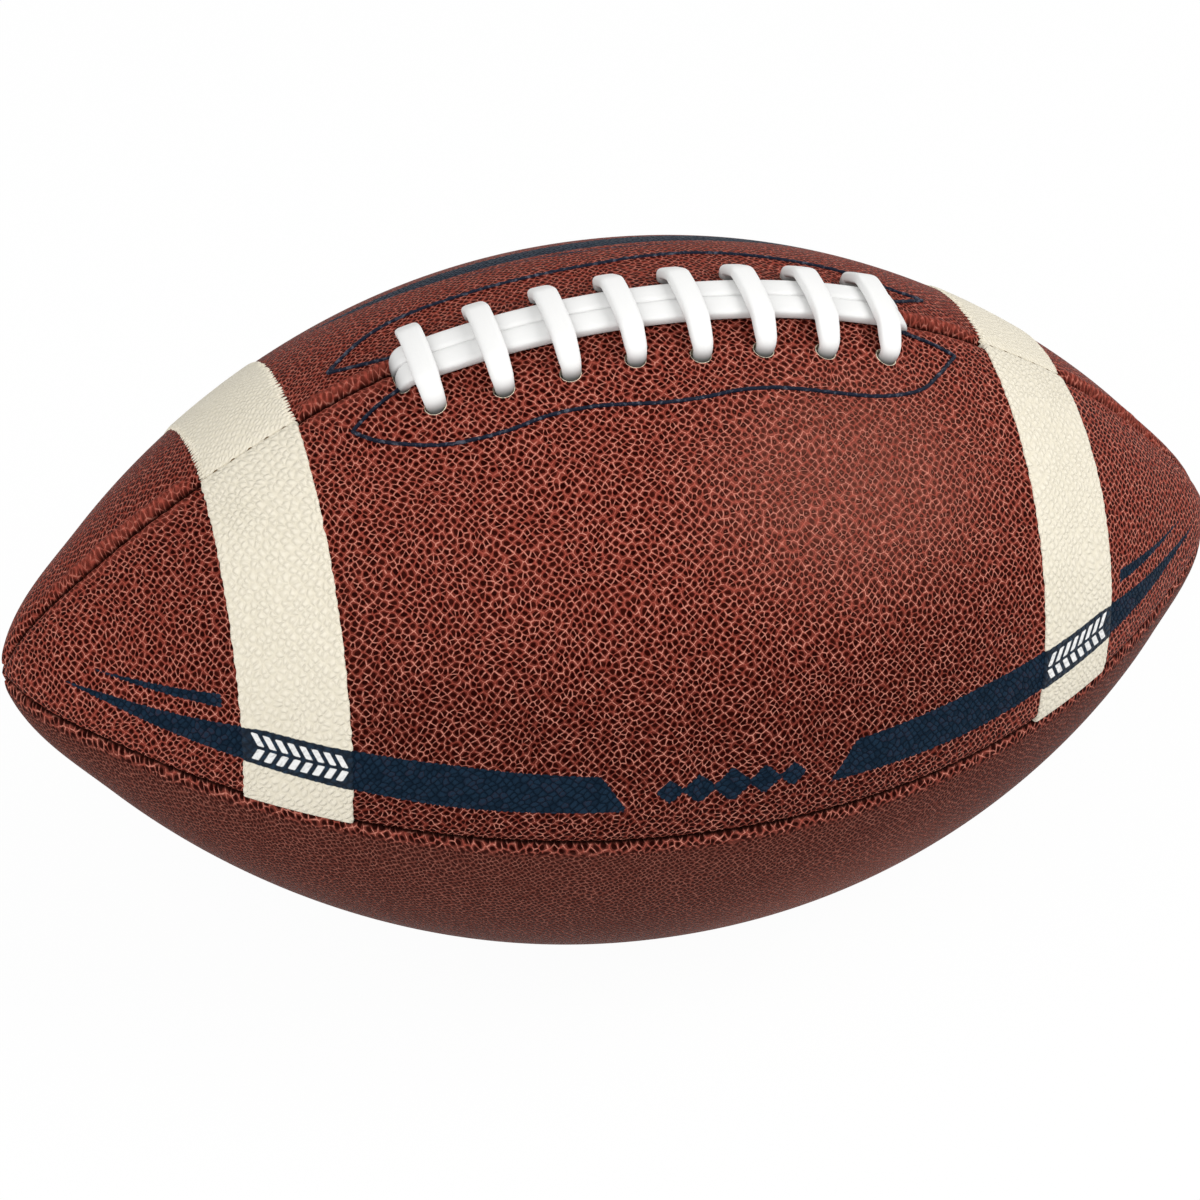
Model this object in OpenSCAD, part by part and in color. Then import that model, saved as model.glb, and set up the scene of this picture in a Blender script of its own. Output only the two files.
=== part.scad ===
/* [Ball] */
// Half of the ball's length, from the middle to a nose
half_len = 145; // [140:0.5:150]
// Radius at the middle, measured over the panel centres
belly_r = 81; // [78:0.5:84]
// Power that keeps the profile full near the middle
belly_power = 2.04; // [1.95:0.01:2.15]
// Power that draws the profile in towards the noses
taper_power = 0.785; // [0.74:0.005:0.83]
// How much the noses are blunter than the plain profile
nose_swell = 7.6; // [4:0.2:9]
// Length of the blunted stretch at each nose
nose_reach = 22; // [18:0.5:28]

/* [Leather panels] */
// Thickness of the leather
leather_t = 2.4; // [2:0.1:2.8]
// How far each panel's own centre of curvature lies off the long axis
panel_lift = 1.4; // [1:0.1:4]
// Width of the rounded shoulder beside a seam
shoulder_w = 3.4; // [3:0.1:4.2]
// Depth of the groove at a seam
groove_d = 1.9; // [1.5:0.1:2.4]
// Depth of the turned-in seam allowance, from the panel's outside
allowance_d = 4.8; // [4.4:0.1:5.4]
// Depth of the turned-in edge where the lacing closes the seam
laced_edge_d = 4.2; // [3.8:0.1:4.3]
// Thickness of the turned-in allowance
allowance_t = 2.2; // [1.8:0.1:2.4]
// Gap between two sewn panels
seam_gap = 0.15; // [0.1:0.05:0.3]

/* [Stripes] */
// Distance of a stripe's outer edge from the nose, measured along the long axis
stripe_from_nose = 44.4; // [40:0.2:48]
// Width of a stripe, measured along the long axis
stripe_w = 21.3; // [18:0.5:24]
// Thickness of a sewn-on stripe
stripe_t = 0.6; // [0.4:0.1:1]
// Gap between a stripe and the leather under it
stripe_gap = 0.05; // [0.03:0.01:0.1]

/* [Lace] */
// Width of the lace
lace_w = 5.2; // [4.6:0.1:5.6]
// Thickness of the lace
lace_t = 2.6; // [2.2:0.1:2.8]
// Width of the lace where it is squeezed through a hole and inside
squeezed_w = 3.8; // [3.4:0.1:4]
// Thickness of the lace where it is squeezed through a hole and inside
squeezed_t = 3; // [2.6:0.1:3.2]
// Number of crossings
crossings = 8; // [6:2:8]
// Distance between two crossings
crossing_pitch = 14.4; // [13.5:0.1:14.5]
// Place of the lacing's middle along the ball
lacing_x = -2; // [-3:0.5:3]
// Distance of a lace hole from the seam
hole_s = 13.1; // [12.5:0.1:15]
// Radius of a lace hole
hole_r = 2.8; // [2.7:0.1:3]
// Distance of an end slot from the last crossing
end_reach = 6.2; // [6:0.1:8]
// Free space between the strands and crossings of the lace
lace_gap = 0.45; // [0.42:0.01:0.6]
// Free space between the lace and the leather under it
lace_seat = 0.3; // [0.2:0.05:0.4]
// Length of the tails tucked in past the end slots
tail_len = 13; // [10:0.5:15]

/* [Linings and lacing parts] */
// Thickness of a fabric lining
lining_t = 1.4; // [1:0.1:1.6]
// Distance of a lining's ends from the noses
lining_short = 17; // [15:0.5:25]
// Space between two layers laid on each other
layer_gap = 0.25; // [0.2:0.05:0.3]
// Thickness of a lace facing
facing_t = 1.2; // [0.8:0.1:1.4]
// Width of a lace facing
facing_w = 23; // [20:0.5:26]
// Length that a facing runs past the end slots
facing_past = 6.5; // [5:0.5:8]
// Thickness of the lace tongue
tongue_t = 1.5; // [1:0.1:2]
// Half width of the lace tongue
tongue_half_w = 19; // [17:0.5:20]

/* [Bladder and valve] */
// Thickness of the bladder's wall
bladder_t = 1; // [0.8:0.1:1.4]
// Radius of the patch that carries the valve
patch_r = 16; // [14:0.5:20]
// Thickness of the valve patch
patch_t = 0.8; // [0.6:0.1:0.9]
// Radius of the valve's neck
neck_r = 4; // [3.6:0.1:4.6]
// Radius of the valve's flange inside the bladder
valve_flange_r = 9; // [7:0.5:11]
// Thickness of the valve's flange
valve_flange_t = 1.5; // [1.2:0.1:2]
// Length of the valve's barrel below its flange
barrel_len = 5; // [4:0.5:7]
// Radius of the valve core
core_r = 2.5; // [2.2:0.1:2.8]
// Radius of the bore for the inflating needle
needle_r = 1; // [0.8:0.1:1.2]
// Depth of the needle bore
needle_depth = 12; // [9:0.5:12.5]
// Depth of the valve's mouth below the leather
mouth_d = 0.5; // [0.3:0.1:0.8]

/* [Hidden] */

leather_colour = "#7a3226";
stripe_colour = "#e6e0cd";
lace_colour = "#f2f1ec";
fabric_colour = "#b9b2a2";
facing_colour = "#3a3f52";
bladder_colour = "#2c2c2e";
valve_colour = "#1c1c1e";

// Where a stripe's inner edge lies
stripe_x = half_len - stripe_from_nose - stripe_w;
// One overrun serves every cut
over = 2;
// A panel spans a quarter turn, half of it on each side of its centre
quarter = 90;
half_span = quarter / 2;
// Steps along the ball: to a stripe, across it, and on to the nose
belly_steps = 6;
stripe_steps = 3;
nose_steps = 7;
// Steps round a shoulder and across the rest of a panel
shoulder_steps = 3;
face_steps = 8;
// Length left flat at the very nose
nose_flat = 0.25;
// Radius under which the turned-in leather thins out towards a nose
bunch_r = 14;
// Share of a shoulder's width under which the groove runs out at a nose
runout_share = 0.5;
// Share of the ball's length over which slopes are measured
slope_share = 0.0005;
// Steps along the revolved inner layers
layer_steps = 24;
// Roundness of revolved solids and bores
$fn = 96;

// Outline of the ball along its long axis

function nose_bump(t) = t >= 1 ? 0 : sqrt(max(t, 0)) * pow(1 - t, 2);

function profile_r(x) =
    belly_r * pow(max(1 - pow(abs(x) / half_len, belly_power), 0), taper_power)
    + nose_swell * nose_bump((half_len - abs(x)) / nose_reach);

function profile_slope(x) =
    let (e = min(half_len * slope_share, (half_len - abs(x)) / 2))
    (profile_r(x + e) - profile_r(x - e)) / (2 * e);

// Outward normal of the outline, as its parts along the axis and away from it
function profile_normal(x) =
    let (m = profile_slope(x))
    [-m, 1] / norm([m, 1]);

// Point of the outline moved inwards by a depth, as [along, radius]
function inset_point(x, depth) =
    let (n = profile_normal(x))
    [x - n[0] * depth, profile_r(x) - n[1] * depth];

// Stations along the ball, from nose to nose
function nose_station(k) =
    let (room = half_len - nose_flat - stripe_x - stripe_w)
    half_len - nose_flat - room * pow(1 - k / nose_steps, 2);

half_stations = concat(
    [for (k = [0 : belly_steps]) stripe_x * k / belly_steps],
    [for (k = [1 : stripe_steps]) stripe_x + stripe_w * k / stripe_steps],
    [for (k = [1 : nose_steps]) nose_station(k)]
);
half_count = len(half_stations) - 1;
stations = concat(
    [for (k = [half_count : -1 : 1]) -half_stations[k]],
    half_stations
);

// Depth of a panel's outside under the outline

function degrees_of(length, r) = length / r * 180 / PI;
function length_of(angle, r) = angle * PI / 180 * r;

// A panel bulges about its own centre line, so its edges lie lower
function bulge_depth(r, a) = min(panel_lift, r / 4) * (1 - cos(a));

function groove_depth(r, dist) =
    let (
        depth = groove_d * min(1, r / (shoulder_w * runout_share)),
        left = max(shoulder_w - dist, 0) / shoulder_w
    )
    depth * (1 - sqrt(max(1 - left * left, 0)));

function skin_depth(r, a) = bulge_depth(r, a) + groove_depth(r, length_of(half_span - abs(a), r));

// Point at an angle from the panel's centre line and a depth under the outline
function skin_point(x, a, depth) =
    let (p = inset_point(x, depth))
    [p[0], -p[1] * sin(a), p[1] * cos(a)];

// Angles from the centre line: round each shoulder, then evenly across the face
function shoulder_angle(k, r) =
    let (w = min(shoulder_w, length_of(half_span, r) / 2))
    half_span - degrees_of(w * (1 - cos(90 * k / shoulder_steps)), r);

function face_angles(r) =
    let (edge = shoulder_angle(shoulder_steps, r))
    concat(
        [for (k = [0 : shoulder_steps - 1]) -shoulder_angle(k, r)],
        [for (k = [0 : face_steps]) edge * (2 * k / face_steps - 1)],
        [for (k = [shoulder_steps - 1 : -1 : 0]) shoulder_angle(k, r)]
    );

// How much of its full size the turned-in leather keeps near a nose
function bunch(r) = min(1, r / bunch_r);

function is_laced(x) = abs(x - lacing_x) < lacing_end + facing_past;

// Ring of a panel at a station: outside, one allowance, inside, other allowance.
// laced_side is 1 or -1 where an edge faces the lacing, and 0 on a base panel.
function allowance_at(x, side, laced_side) =
    side == laced_side && is_laced(x) ? laced_edge_d : allowance_d;

function allowance_angle(x, depth) =
    half_span - asin(allowance_t * bunch(profile_r(x)) / inset_point(x, depth)[1]);

function allowance_points(x, side, laced_side) =
    let (
        r = profile_r(x),
        rim = skin_depth(r, half_span),
        depth = rim + max(allowance_at(x, side, laced_side) - groove_d, 0) * bunch(r)
    )
    [
        skin_point(x, side * half_span, depth),
        skin_point(x, side * allowance_angle(x, depth), depth)
    ];

function inside_points(x) =
    let (
        r = profile_r(x),
        edge = allowance_angle(x, leather_t * bunch(r) + bulge_depth(r, half_span))
    )
    [
        for (k = [face_steps : -1 : 0])
            let (a = edge * (2 * k / face_steps - 1))
            skin_point(x, a, skin_depth(r, a) + leather_t * bunch(r))
    ];

function reversed(list) = [for (k = [len(list) - 1 : -1 : 0]) list[k]];

function panel_ring(x, laced_side) =
    let (r = profile_r(x))
    concat(
        [for (a = face_angles(r)) skin_point(x, a, skin_depth(r, a))],
        allowance_points(x, 1, laced_side),
        inside_points(x),
        reversed(allowance_points(x, -1, laced_side))
    );

// Skin of triangles over rings that all have the same number of points
module ring_loft(rings, paired = false) {
    n = len(rings[0]);
    last = len(rings) - 1;
    points = [for (ring = rings) each ring];
    sides = [
        for (i = [0 : last - 1], j = [0 : n - 1])
            let (a = i * n + j, b = i * n + (j + 1) % n)
            each [[a, b, b + n], [a, b + n, a + n]]
    ];
    caps = [[for (j = [n - 1 : -1 : 0]) j], [for (j = [0 : n - 1]) last * n + j]];
    polyhedron(points, concat(sides, paired ? paired_caps(n, last * n) : caps), convexity = 10);
}

// Caps for rings whose second half runs back under the first
function paired_caps(n, end) = [
    for (j = [0 : n / 2 - 2])
        each [
            [j, n - 2 - j, j + 1], [j, n - 1 - j, n - 2 - j],
            [end + j, end + j + 1, end + n - 2 - j], [end + j, end + n - 2 - j, end + n - 1 - j]
        ]
];

// Places of the panels round the long axis

lowest_at_middle = max([
    for (a = face_angles(belly_r))
        (belly_r - skin_depth(belly_r, a)) * cos(half_span - abs(a))
]);
centre_z = lowest_at_middle + seam_gap / 2;

module at_centre() {
    translate([0, 0, centre_z]) children();
}

// Turns a panel's centre line from straight up to its place
module turned(angle) {
    rotate([angle, 0, 0]) children();
}

module sewn(angle) {
    at_centre() turned(angle) translate([0, 0, seam_gap / sqrt(2)]) children();
}

module panel_skin(laced_side) {
    ring_loft([for (x = stations) panel_ring(x, laced_side)]);
}

// Stripes lie on the same stations and angles as the panel under them

function stripe_ring(x) =
    let (
        r = profile_r(x),
        all_angles = face_angles(r),
        angles = [for (k = [1 : len(all_angles) - 2]) all_angles[k]]
    )
    concat(
        [for (a = angles) skin_point(x, a, skin_depth(r, a) - stripe_t)],
        [for (a = reversed(angles)) skin_point(x, a, skin_depth(r, a) - stripe_gap)]
    );

module stripe(end) {
    places = [for (k = [0 : stripe_steps]) stripe_x + stripe_w * k / stripe_steps];
    signed = end > 0 ? places : reversed(-places);
    ring_loft([for (x = signed) stripe_ring(x)], paired = true);
}

// Revolved layers behind the leather

layer_end = half_len - lining_short;

function layer_line(depth) = [
    for (k = [0 : layer_steps])
        let (x = layer_end * (2 * k / layer_steps - 1))
        inset_point(x, depth)
];

// Stands a revolved profile of [along, radius] points on the long axis
module revolved(points) {
    rotate([0, 90, 0]) rotate_extrude() polygon([for (p = points) [p[1], p[0]]]);
}

// Shell between two depths, turned about the panel's own centre of curvature
module panel_layer(depth, thickness) {
    outer = [for (p = layer_line(depth)) [p[0], p[1] - panel_lift]];
    inner = [for (p = layer_line(depth + thickness)) [p[0], p[1] - panel_lift]];
    translate([0, 0, panel_lift]) revolved(concat(outer, reversed(inner)));
}

// Wedge between a panel's two allowances
module between_allowances() {
    foot = (allowance_t + layer_gap) * sqrt(2);
    rotate([0, 90, 0]) translate([0, 0, -half_len])
        linear_extrude(height = 2 * half_len)
            polygon([[-foot, 0], [-foot - belly_r, belly_r], [-foot - belly_r, -belly_r]]);
}

facet_sag = belly_r * (1 - cos(half_span / face_steps));
lining_d = leather_t + layer_gap + facet_sag / 2;
facing_d = lining_d + lining_t + layer_gap;

module lining() {
    intersection() {
        panel_layer(lining_d, lining_t);
        between_allowances();
    }
}

// The lace, laid out in lacing coordinates: x along the ball, s along the skin
// from the seam towards the front, and h above the skin

function skin_radius(x, s) =
    let (r = profile_r(x), a = half_span - degrees_of(abs(s), r))
    r - bulge_depth(r, a);

function on_skin(p) =
    let (
        n = profile_normal(p[0]),
        angle = degrees_of(p[1], profile_r(p[0])),
        r = skin_radius(p[0], p[1]) + n[1] * p[2]
    )
    [p[0] + n[0] * p[2], -r * sin(angle), r * cos(angle)];

last_crossing = crossing_pitch * (crossings - 1) / 2;
lacing_end = last_crossing + end_reach;
strand_s = (lace_w + lace_gap) / 2;
strand_h = lace_seat + lace_t / 2;
// Height of the turn into a hole, radii of the two kinds of bend, reach of a crossing's
// shoulder and step along a strand, as shares of the lace's thickness, width or pitch
hole_turn_share = 0.65;
tight_bend_share = 0.95;
easy_bend_share = 0.8;
shoulder_share = 0.85;
strand_step_share = 0.75;
over_h = strand_h + lace_t + lace_gap;
inside_h = -(facing_d + facing_t + lace_seat + squeezed_w / 2);
hole_turn_h = lace_t * hole_turn_share;
tight_bend = lace_t * tight_bend_share;
easy_bend = lace_w * easy_bend_share;
bend_steps = 3;
// Rings nearer than this along the lace belong to one stretch
apart_rings = 3 * (bend_steps + 1);
strand_step = crossing_pitch * strand_step_share;

function crossing_x(k) = lacing_x + crossing_pitch * (k - (crossings - 1) / 2);

along_s = [0, 1, 0];
along_x = [1, 0, 0];
along_h = [0, 0, 1];

// A corner is its place, its bend radius and the lace's width direction after it
function leg_corners(x, side) = [
    [[x, side * hole_s, inside_h], tight_bend, along_x],
    [[x, side * hole_s, hole_turn_h], tight_bend, along_x],
    [[x, side * (strand_s + lace_w * shoulder_share), over_h], easy_bend, along_x]
];

// One crossing from the side it comes up on to the other, then the run inside
function crossing_corners(x, side) =
    let (down = reversed(leg_corners(x, -side)))
    concat(
        leg_corners(x, side),
        [
            [down[0][0], easy_bend, along_x],
            [down[1][0], tight_bend, along_x],
            [down[2][0], tight_bend, along_h]
        ]
    );

function strand_corners(s, from_h) = [
    [[lacing_x - lacing_end, s, from_h], tight_bend, along_s],
    [[lacing_x - lacing_end, s, strand_h], tight_bend, along_s],
    [[lacing_x + lacing_end, s, strand_h], tight_bend, along_s],
    [[lacing_x + lacing_end, s, inside_h], tight_bend, along_s]
];

lace_corners = concat(
    [[[lacing_x - lacing_end - tail_len, strand_s, inside_h], 0, along_s]],
    strand_corners(strand_s, inside_h),
    [
        for (k = [crossings - 1 : -1 : 0])
            each crossing_corners(crossing_x(k), (crossings - 1 - k) % 2 == 0 ? 1 : -1)
    ],
    [[[crossing_x(0), -strand_s, inside_h], tight_bend, along_s]],
    strand_corners(-strand_s, inside_h),
    [[[lacing_x + lacing_end + tail_len, -strand_s, inside_h], 0, along_s]]
);

function unit(v) = v / norm(v);
function without(v, t) = v - t * (v * t);
function blend(a, b, f) = a * (1 - f) + b * f;

// Rings of [place, direction, width direction] round one corner
function bend_rings(c, before, after, width_before, width_after) =
    let (
        u = unit(c[0] - before),
        v = unit(after - c[0]),
        turn = acos(max(min(u * v, 1), -1)),
        m = unit(without(v, u)),
        side = cross(u, m),
        r = c[1],
        start = c[0] - u * r * tan(turn / 2),
        in_plane = width_before * m,
        off_plane = width_before * side,
        carried = (cos(turn) * m - sin(turn) * u) * in_plane + side * off_plane,
        aligned = carried * width_after < 0 ? -width_after : width_after
    )
    [
        for (k = [0 : bend_steps])
            let (
                f = k / bend_steps,
                a = turn * f,
                dir = u * cos(a) + m * sin(a),
                moved = (m * cos(a) - u * sin(a)) * in_plane + side * off_plane
            )
            [
                start + u * r * sin(a) + m * r * (1 - cos(a)),
                dir,
                unit(without(blend(moved, aligned, f), dir))
            ]
    ];

// The width direction leaving a corner, with the sign carried over from before
function next_width(c, before, after, width_before, width_after) =
    let (rings = bend_rings(c, before, after, width_before, width_after))
    rings[bend_steps][2];

lace_last = len(lace_corners) - 1;
lace_widths = [
    for (
        i = 1, w = lace_corners[0][2];
        i <= lace_last;
        w = i < lace_last
            ? next_width(
                lace_corners[i], lace_corners[i - 1][0], lace_corners[i + 1][0],
                w, without(lace_corners[i][2], unit(lace_corners[i + 1][0] - lace_corners[i][0]))
            )
            : w,
        i = i + 1
    ) w
];

lace_bends = [
    for (i = [1 : lace_last - 1])
        bend_rings(
            lace_corners[i], lace_corners[i - 1][0], lace_corners[i + 1][0],
            lace_widths[i - 1], lace_widths[i]
        )
];

// Rings added along a long straight stretch, so that it follows the skin
function stretch_rings(from, to) =
    let (count = floor(norm(to[0] - from[0]) / strand_step))
    count < 1 ? [] : [
        for (k = [1 : count])
            let (f = k / (count + 1))
            [blend(from[0], to[0], f), from[1], from[2]]
    ];

lace_route = concat(
    [[lace_corners[0][0], unit(lace_corners[1][0] - lace_corners[0][0]), lace_widths[0]]],
    [
        for (i = [0 : len(lace_bends) - 1])
            each concat(
                i == 0 ? [] : stretch_rings(lace_bends[i - 1][bend_steps], lace_bends[i][0]),
                lace_bends[i]
            )
    ],
    [[
        lace_corners[lace_last][0],
        unit(lace_corners[lace_last][0] - lace_corners[lace_last - 1][0]),
        lace_widths[lace_last - 1]
    ]]
);

// Corners of the lace's rounded section, as shares of its half width and half thickness
section_shares = [
    [1, 0.45], [0.6, 1], [-0.6, 1], [-1, 0.45], [-1, -0.45], [-0.6, -1], [0.6, -1], [1, -0.45]
];

// Share of the squeeze at a height: none above the skin, all of it inside the leather
function squeeze(h) = max(0, min(1, (lace_t / 2 - h) / lace_t));

function lace_ring(r) =
    let (
        f = squeeze(r[0][2]),
        w = lace_w + (squeezed_w - lace_w) * f,
        t = lace_t + (squeezed_t - lace_t) * f,
        thick_dir = cross(r[1], r[2])
    )
    [for (q = section_shares) on_skin(r[0] + r[2] * (q[0] * w / 2) + thick_dir * (q[1] * t / 2))];

// How far the box round the lace's section reaches from its middle in one direction
function reach(r, dir) =
    let (f = squeeze(r[0][2]), thick_dir = cross(r[1], r[2]))
    abs(dir * r[2]) * (lace_w + (squeezed_w - lace_w) * f) / 2
    + abs(dir * thick_dir) * (lace_t + (squeezed_t - lace_t) * f) / 2;

// Free space between two rings, seen square to the direction that parts them best
function ring_gap(a, b) =
    let (d = b[0] - a[0])
    max([
        for (dir = [unit(d), a[2], b[2], cross(a[1], a[2]), cross(b[1], b[2])])
            abs(d * dir) - reach(a, dir) - reach(b, dir)
    ]);

function least_lace_gap() = min([
    for (i = [0 : len(lace_route) - 1], j = [i + apart_rings : 1 : len(lace_route) - 1])
        ring_gap(lace_route[i], lace_route[j])
]);

module lace_cord() {
    ring_loft([for (r = lace_route) lace_ring(r)]);
}

// Holes for the lace, square to the skin

module on_skin_square(x, s) {
    n = profile_normal(x);
    translate(on_skin([x, s, 0])) rotate([degrees_of(s, profile_r(x)), 0, 0])
        rotate([0, atan2(n[0], n[1]), 0]) children();
}

slot_half_t = lace_t / 2 + lace_gap;
slot_half_w = strand_s + lace_w / 2 + lace_gap;
hole_depth = facing_d + facing_t + over;

module end_slot() {
    straight = slot_half_w - slot_half_t;
    translate([-slot_half_t, -straight, -hole_depth])
        cube([2 * slot_half_t, 2 * straight, hole_depth + over]);
    for (side = [-1, 1])
        translate([0, side * straight, -hole_depth])
            cylinder(r = slot_half_t, h = hole_depth + over);
}

module lace_holes(side) {
    for (k = [0 : crossings - 1])
        on_skin_square(crossing_x(k), side * hole_s)
            translate([0, 0, -hole_depth]) cylinder(r = hole_r, h = hole_depth + over);
    for (end = [-1, 1])
        on_skin_square(lacing_x + end * lacing_end, 0) end_slot();
}

// Facings, tongue and bladder

facing_half_l = lacing_end + facing_past;

module rounded_plan(x_size, y_size, corner) {
    square([x_size - 2 * corner, y_size], center = true);
    square([x_size, y_size - 2 * corner], center = true);
    for (sx = [-1, 1], sy = [-1, 1])
        translate([sx * (x_size / 2 - corner), sy * (y_size / 2 - corner)]) circle(r = corner);
}

module lace_facing(side) {
    near = allowance_t + layer_gap;
    difference() {
        intersection() {
            turned(side * half_span) panel_layer(facing_d, facing_t);
            translate([lacing_x, -side * (near + facing_w / 2), 0])
                linear_extrude(height = belly_r)
                    rounded_plan(2 * facing_half_l, facing_w, facing_w / 4);
        }
        lace_holes(side);
    }
}

tongue_d = bulge_depth(belly_r, half_span) - inside_h + squeezed_w / 2 + lace_seat;
tongue_half_l = lacing_end + tail_len + tongue_t;

module central_layer(depth, thickness) {
    revolved(concat(layer_line(depth), reversed(layer_line(depth + thickness))));
}

// Deep enough for the turned-in leather and for the facings
bladder_d = bulge_depth(belly_r, half_span) + max(allowance_d, facing_d + facing_t) + layer_gap;
pocket_d = tongue_d + tongue_t + layer_gap;
pocket_half_l = tongue_half_l + over;
pocket_half_w = tongue_half_w + over;

// Closes a profile onto the long axis with a blunt cone at each end
function solid_line(line) =
    let (nose = line[layer_steps][0] + line[layer_steps][1] / 2)
    concat([[-nose, 0]], line, [[nose, 0]]);

// Hollow that the lacing presses into the top of the bladder
module lacing_pocket(grow) {
    difference() {
        translate([lacing_x, 0, 0]) linear_extrude(height = belly_r)
            rounded_plan(2 * (pocket_half_l + grow), 2 * (pocket_half_w + grow), pocket_half_w / 2);
        revolved(solid_line(layer_line(pocket_d + grow)));
    }
}

module pressed_bladder(depth) {
    difference() {
        revolved(solid_line(layer_line(bladder_d + depth)));
        lacing_pocket(depth);
    }
}

// The valve stands on the centre line of the back base panel

neck_gap = layer_gap;
mouth_z = belly_r - mouth_d;
valve_flange_drop = valve_flange_r * valve_flange_r / (2 * (belly_r - bladder_d));
valve_flange_z = belly_r - bladder_d - bladder_t - valve_flange_drop - layer_gap;
barrel_z = valve_flange_z - valve_flange_t - barrel_len;
barrel_r = neck_r + neck_gap;

module neck_hole() {
    translate([0, 0, barrel_z]) cylinder(r = neck_r + neck_gap, h = belly_r + over - barrel_z);
}

module valve_body() {
    rotate_extrude() polygon([
        [core_r + neck_gap, barrel_z],
        [barrel_r, barrel_z],
        [barrel_r, valve_flange_z - valve_flange_t],
        [valve_flange_r, valve_flange_z - valve_flange_t],
        [valve_flange_r, valve_flange_z],
        [neck_r, valve_flange_z],
        [neck_r, mouth_z],
        [core_r + neck_gap, mouth_z]
    ]);
}

module core_body() {
    difference() {
        translate([0, 0, barrel_z + neck_gap])
            cylinder(r = core_r, h = mouth_z - barrel_z - 2 * neck_gap);
        translate([0, 0, mouth_z - neck_gap - needle_depth])
            cylinder(r = needle_r, h = needle_depth + over);
    }
}

// The pieces

front_up = half_span;
back_up = -half_span;
front_down = half_span + quarter;
back_down = -half_span - quarter;

module panel_lace_front() {
    color(leather_colour) difference() {
        sewn(front_up) panel_skin(-1);
        at_centre() lace_holes(1);
    }
}

module panel_lace_back() {
    color(leather_colour) difference() {
        sewn(back_up) panel_skin(1);
        at_centre() lace_holes(-1);
    }
}

module panel_base_front() {
    color(leather_colour) sewn(front_down) panel_skin(0);
}

module panel_base_back() {
    color(leather_colour) sewn(back_down) difference() {
        panel_skin(0);
        neck_hole();
    }
}

module stripe_front_left() {
    color(stripe_colour) sewn(front_up) stripe(-1);
}

module stripe_front_right() {
    color(stripe_colour) sewn(front_up) stripe(1);
}

module stripe_back_left() {
    color(stripe_colour) sewn(back_up) stripe(-1);
}

module stripe_back_right() {
    color(stripe_colour) sewn(back_up) stripe(1);
}

module lining_lace_front() {
    color(fabric_colour) at_centre() difference() {
        turned(front_up) lining();
        lace_holes(1);
    }
}

module lining_lace_back() {
    color(fabric_colour) at_centre() difference() {
        turned(back_up) lining();
        lace_holes(-1);
    }
}

module lining_base_front() {
    color(fabric_colour) at_centre() turned(front_down) lining();
}

module lining_base_back() {
    color(fabric_colour) at_centre() turned(back_down) difference() {
        lining();
        neck_hole();
    }
}

module lace() {
    echo(least_gap_of_the_lace_to_itself = least_lace_gap());
    color(lace_colour) at_centre() lace_cord();
}

module lace_facing_front() {
    color(facing_colour) at_centre() lace_facing(1);
}

module lace_facing_back() {
    color(facing_colour) at_centre() lace_facing(-1);
}

module lace_tongue() {
    color(facing_colour) at_centre() intersection() {
        central_layer(tongue_d, tongue_t);
        translate([lacing_x, 0, 0]) linear_extrude(height = belly_r)
            rounded_plan(2 * tongue_half_l, 2 * tongue_half_w, tongue_half_w / 2);
    }
}

module bladder() {
    color(bladder_colour) at_centre() difference() {
        pressed_bladder(0);
        pressed_bladder(bladder_t);
        turned(back_down) neck_hole();
    }
}

module valve_patch() {
    color(bladder_colour) at_centre() turned(back_down) intersection() {
        central_layer(bladder_d - layer_gap - patch_t, patch_t);
        difference() {
            cylinder(r = patch_r, h = belly_r);
            neck_hole();
        }
    }
}

module valve_housing() {
    color(valve_colour) at_centre() turned(back_down) valve_body();
}

module valve_core() {
    color(valve_colour) at_centre() turned(back_down) core_body();
}

panel_lace_front();
panel_lace_back();
panel_base_front();
panel_base_back();
stripe_front_left();
stripe_front_right();
stripe_back_left();
stripe_back_right();
lining_lace_front();
lining_lace_back();
lining_base_front();
lining_base_back();
lace();
lace_facing_front();
lace_facing_back();
lace_tongue();
bladder();
valve_patch();
valve_housing();
valve_core();
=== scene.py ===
import math

import bmesh
import bpy
import numpy as np
from mathutils import Matrix, Vector, noise


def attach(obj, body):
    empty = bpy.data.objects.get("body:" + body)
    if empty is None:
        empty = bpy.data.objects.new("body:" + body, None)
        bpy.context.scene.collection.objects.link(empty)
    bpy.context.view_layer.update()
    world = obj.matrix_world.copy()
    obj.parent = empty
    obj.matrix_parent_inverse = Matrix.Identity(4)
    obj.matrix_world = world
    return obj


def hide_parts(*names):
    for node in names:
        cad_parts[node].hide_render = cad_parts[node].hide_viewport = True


bl_info = {
    "name": "Laced Football",
    "version": (1, 0, 0),
    "blender": (4, 5, 0),
    "location": "View3D > Sidebar > Football",
    "description": "Dresses the football's solids in pebbled leather, stripes, lace and stitching",
    "category": "Add Mesh",
}

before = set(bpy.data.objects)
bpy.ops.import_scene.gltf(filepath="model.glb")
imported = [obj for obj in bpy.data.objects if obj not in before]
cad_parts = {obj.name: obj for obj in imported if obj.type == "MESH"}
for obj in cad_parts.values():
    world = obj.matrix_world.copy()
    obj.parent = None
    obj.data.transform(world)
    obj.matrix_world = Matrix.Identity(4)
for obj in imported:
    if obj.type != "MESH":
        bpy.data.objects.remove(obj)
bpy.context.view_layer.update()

MM = 0.001
FRONT, BACK = 1, -1
# Each of the four panels covers an angle of twice this.
HALF = math.radians(45)


def length(label, description, millimetres):
    """A length that is shown in the scene's units."""
    return bpy.props.FloatProperty(
        name=label, description=description, default=millimetres * MM,
        min=0, unit="LENGTH", precision=5,
    )


def share(label, description, value):
    """A plain number, such as a power or a share."""
    return bpy.props.FloatProperty(name=label, description=description, default=value)


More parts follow.
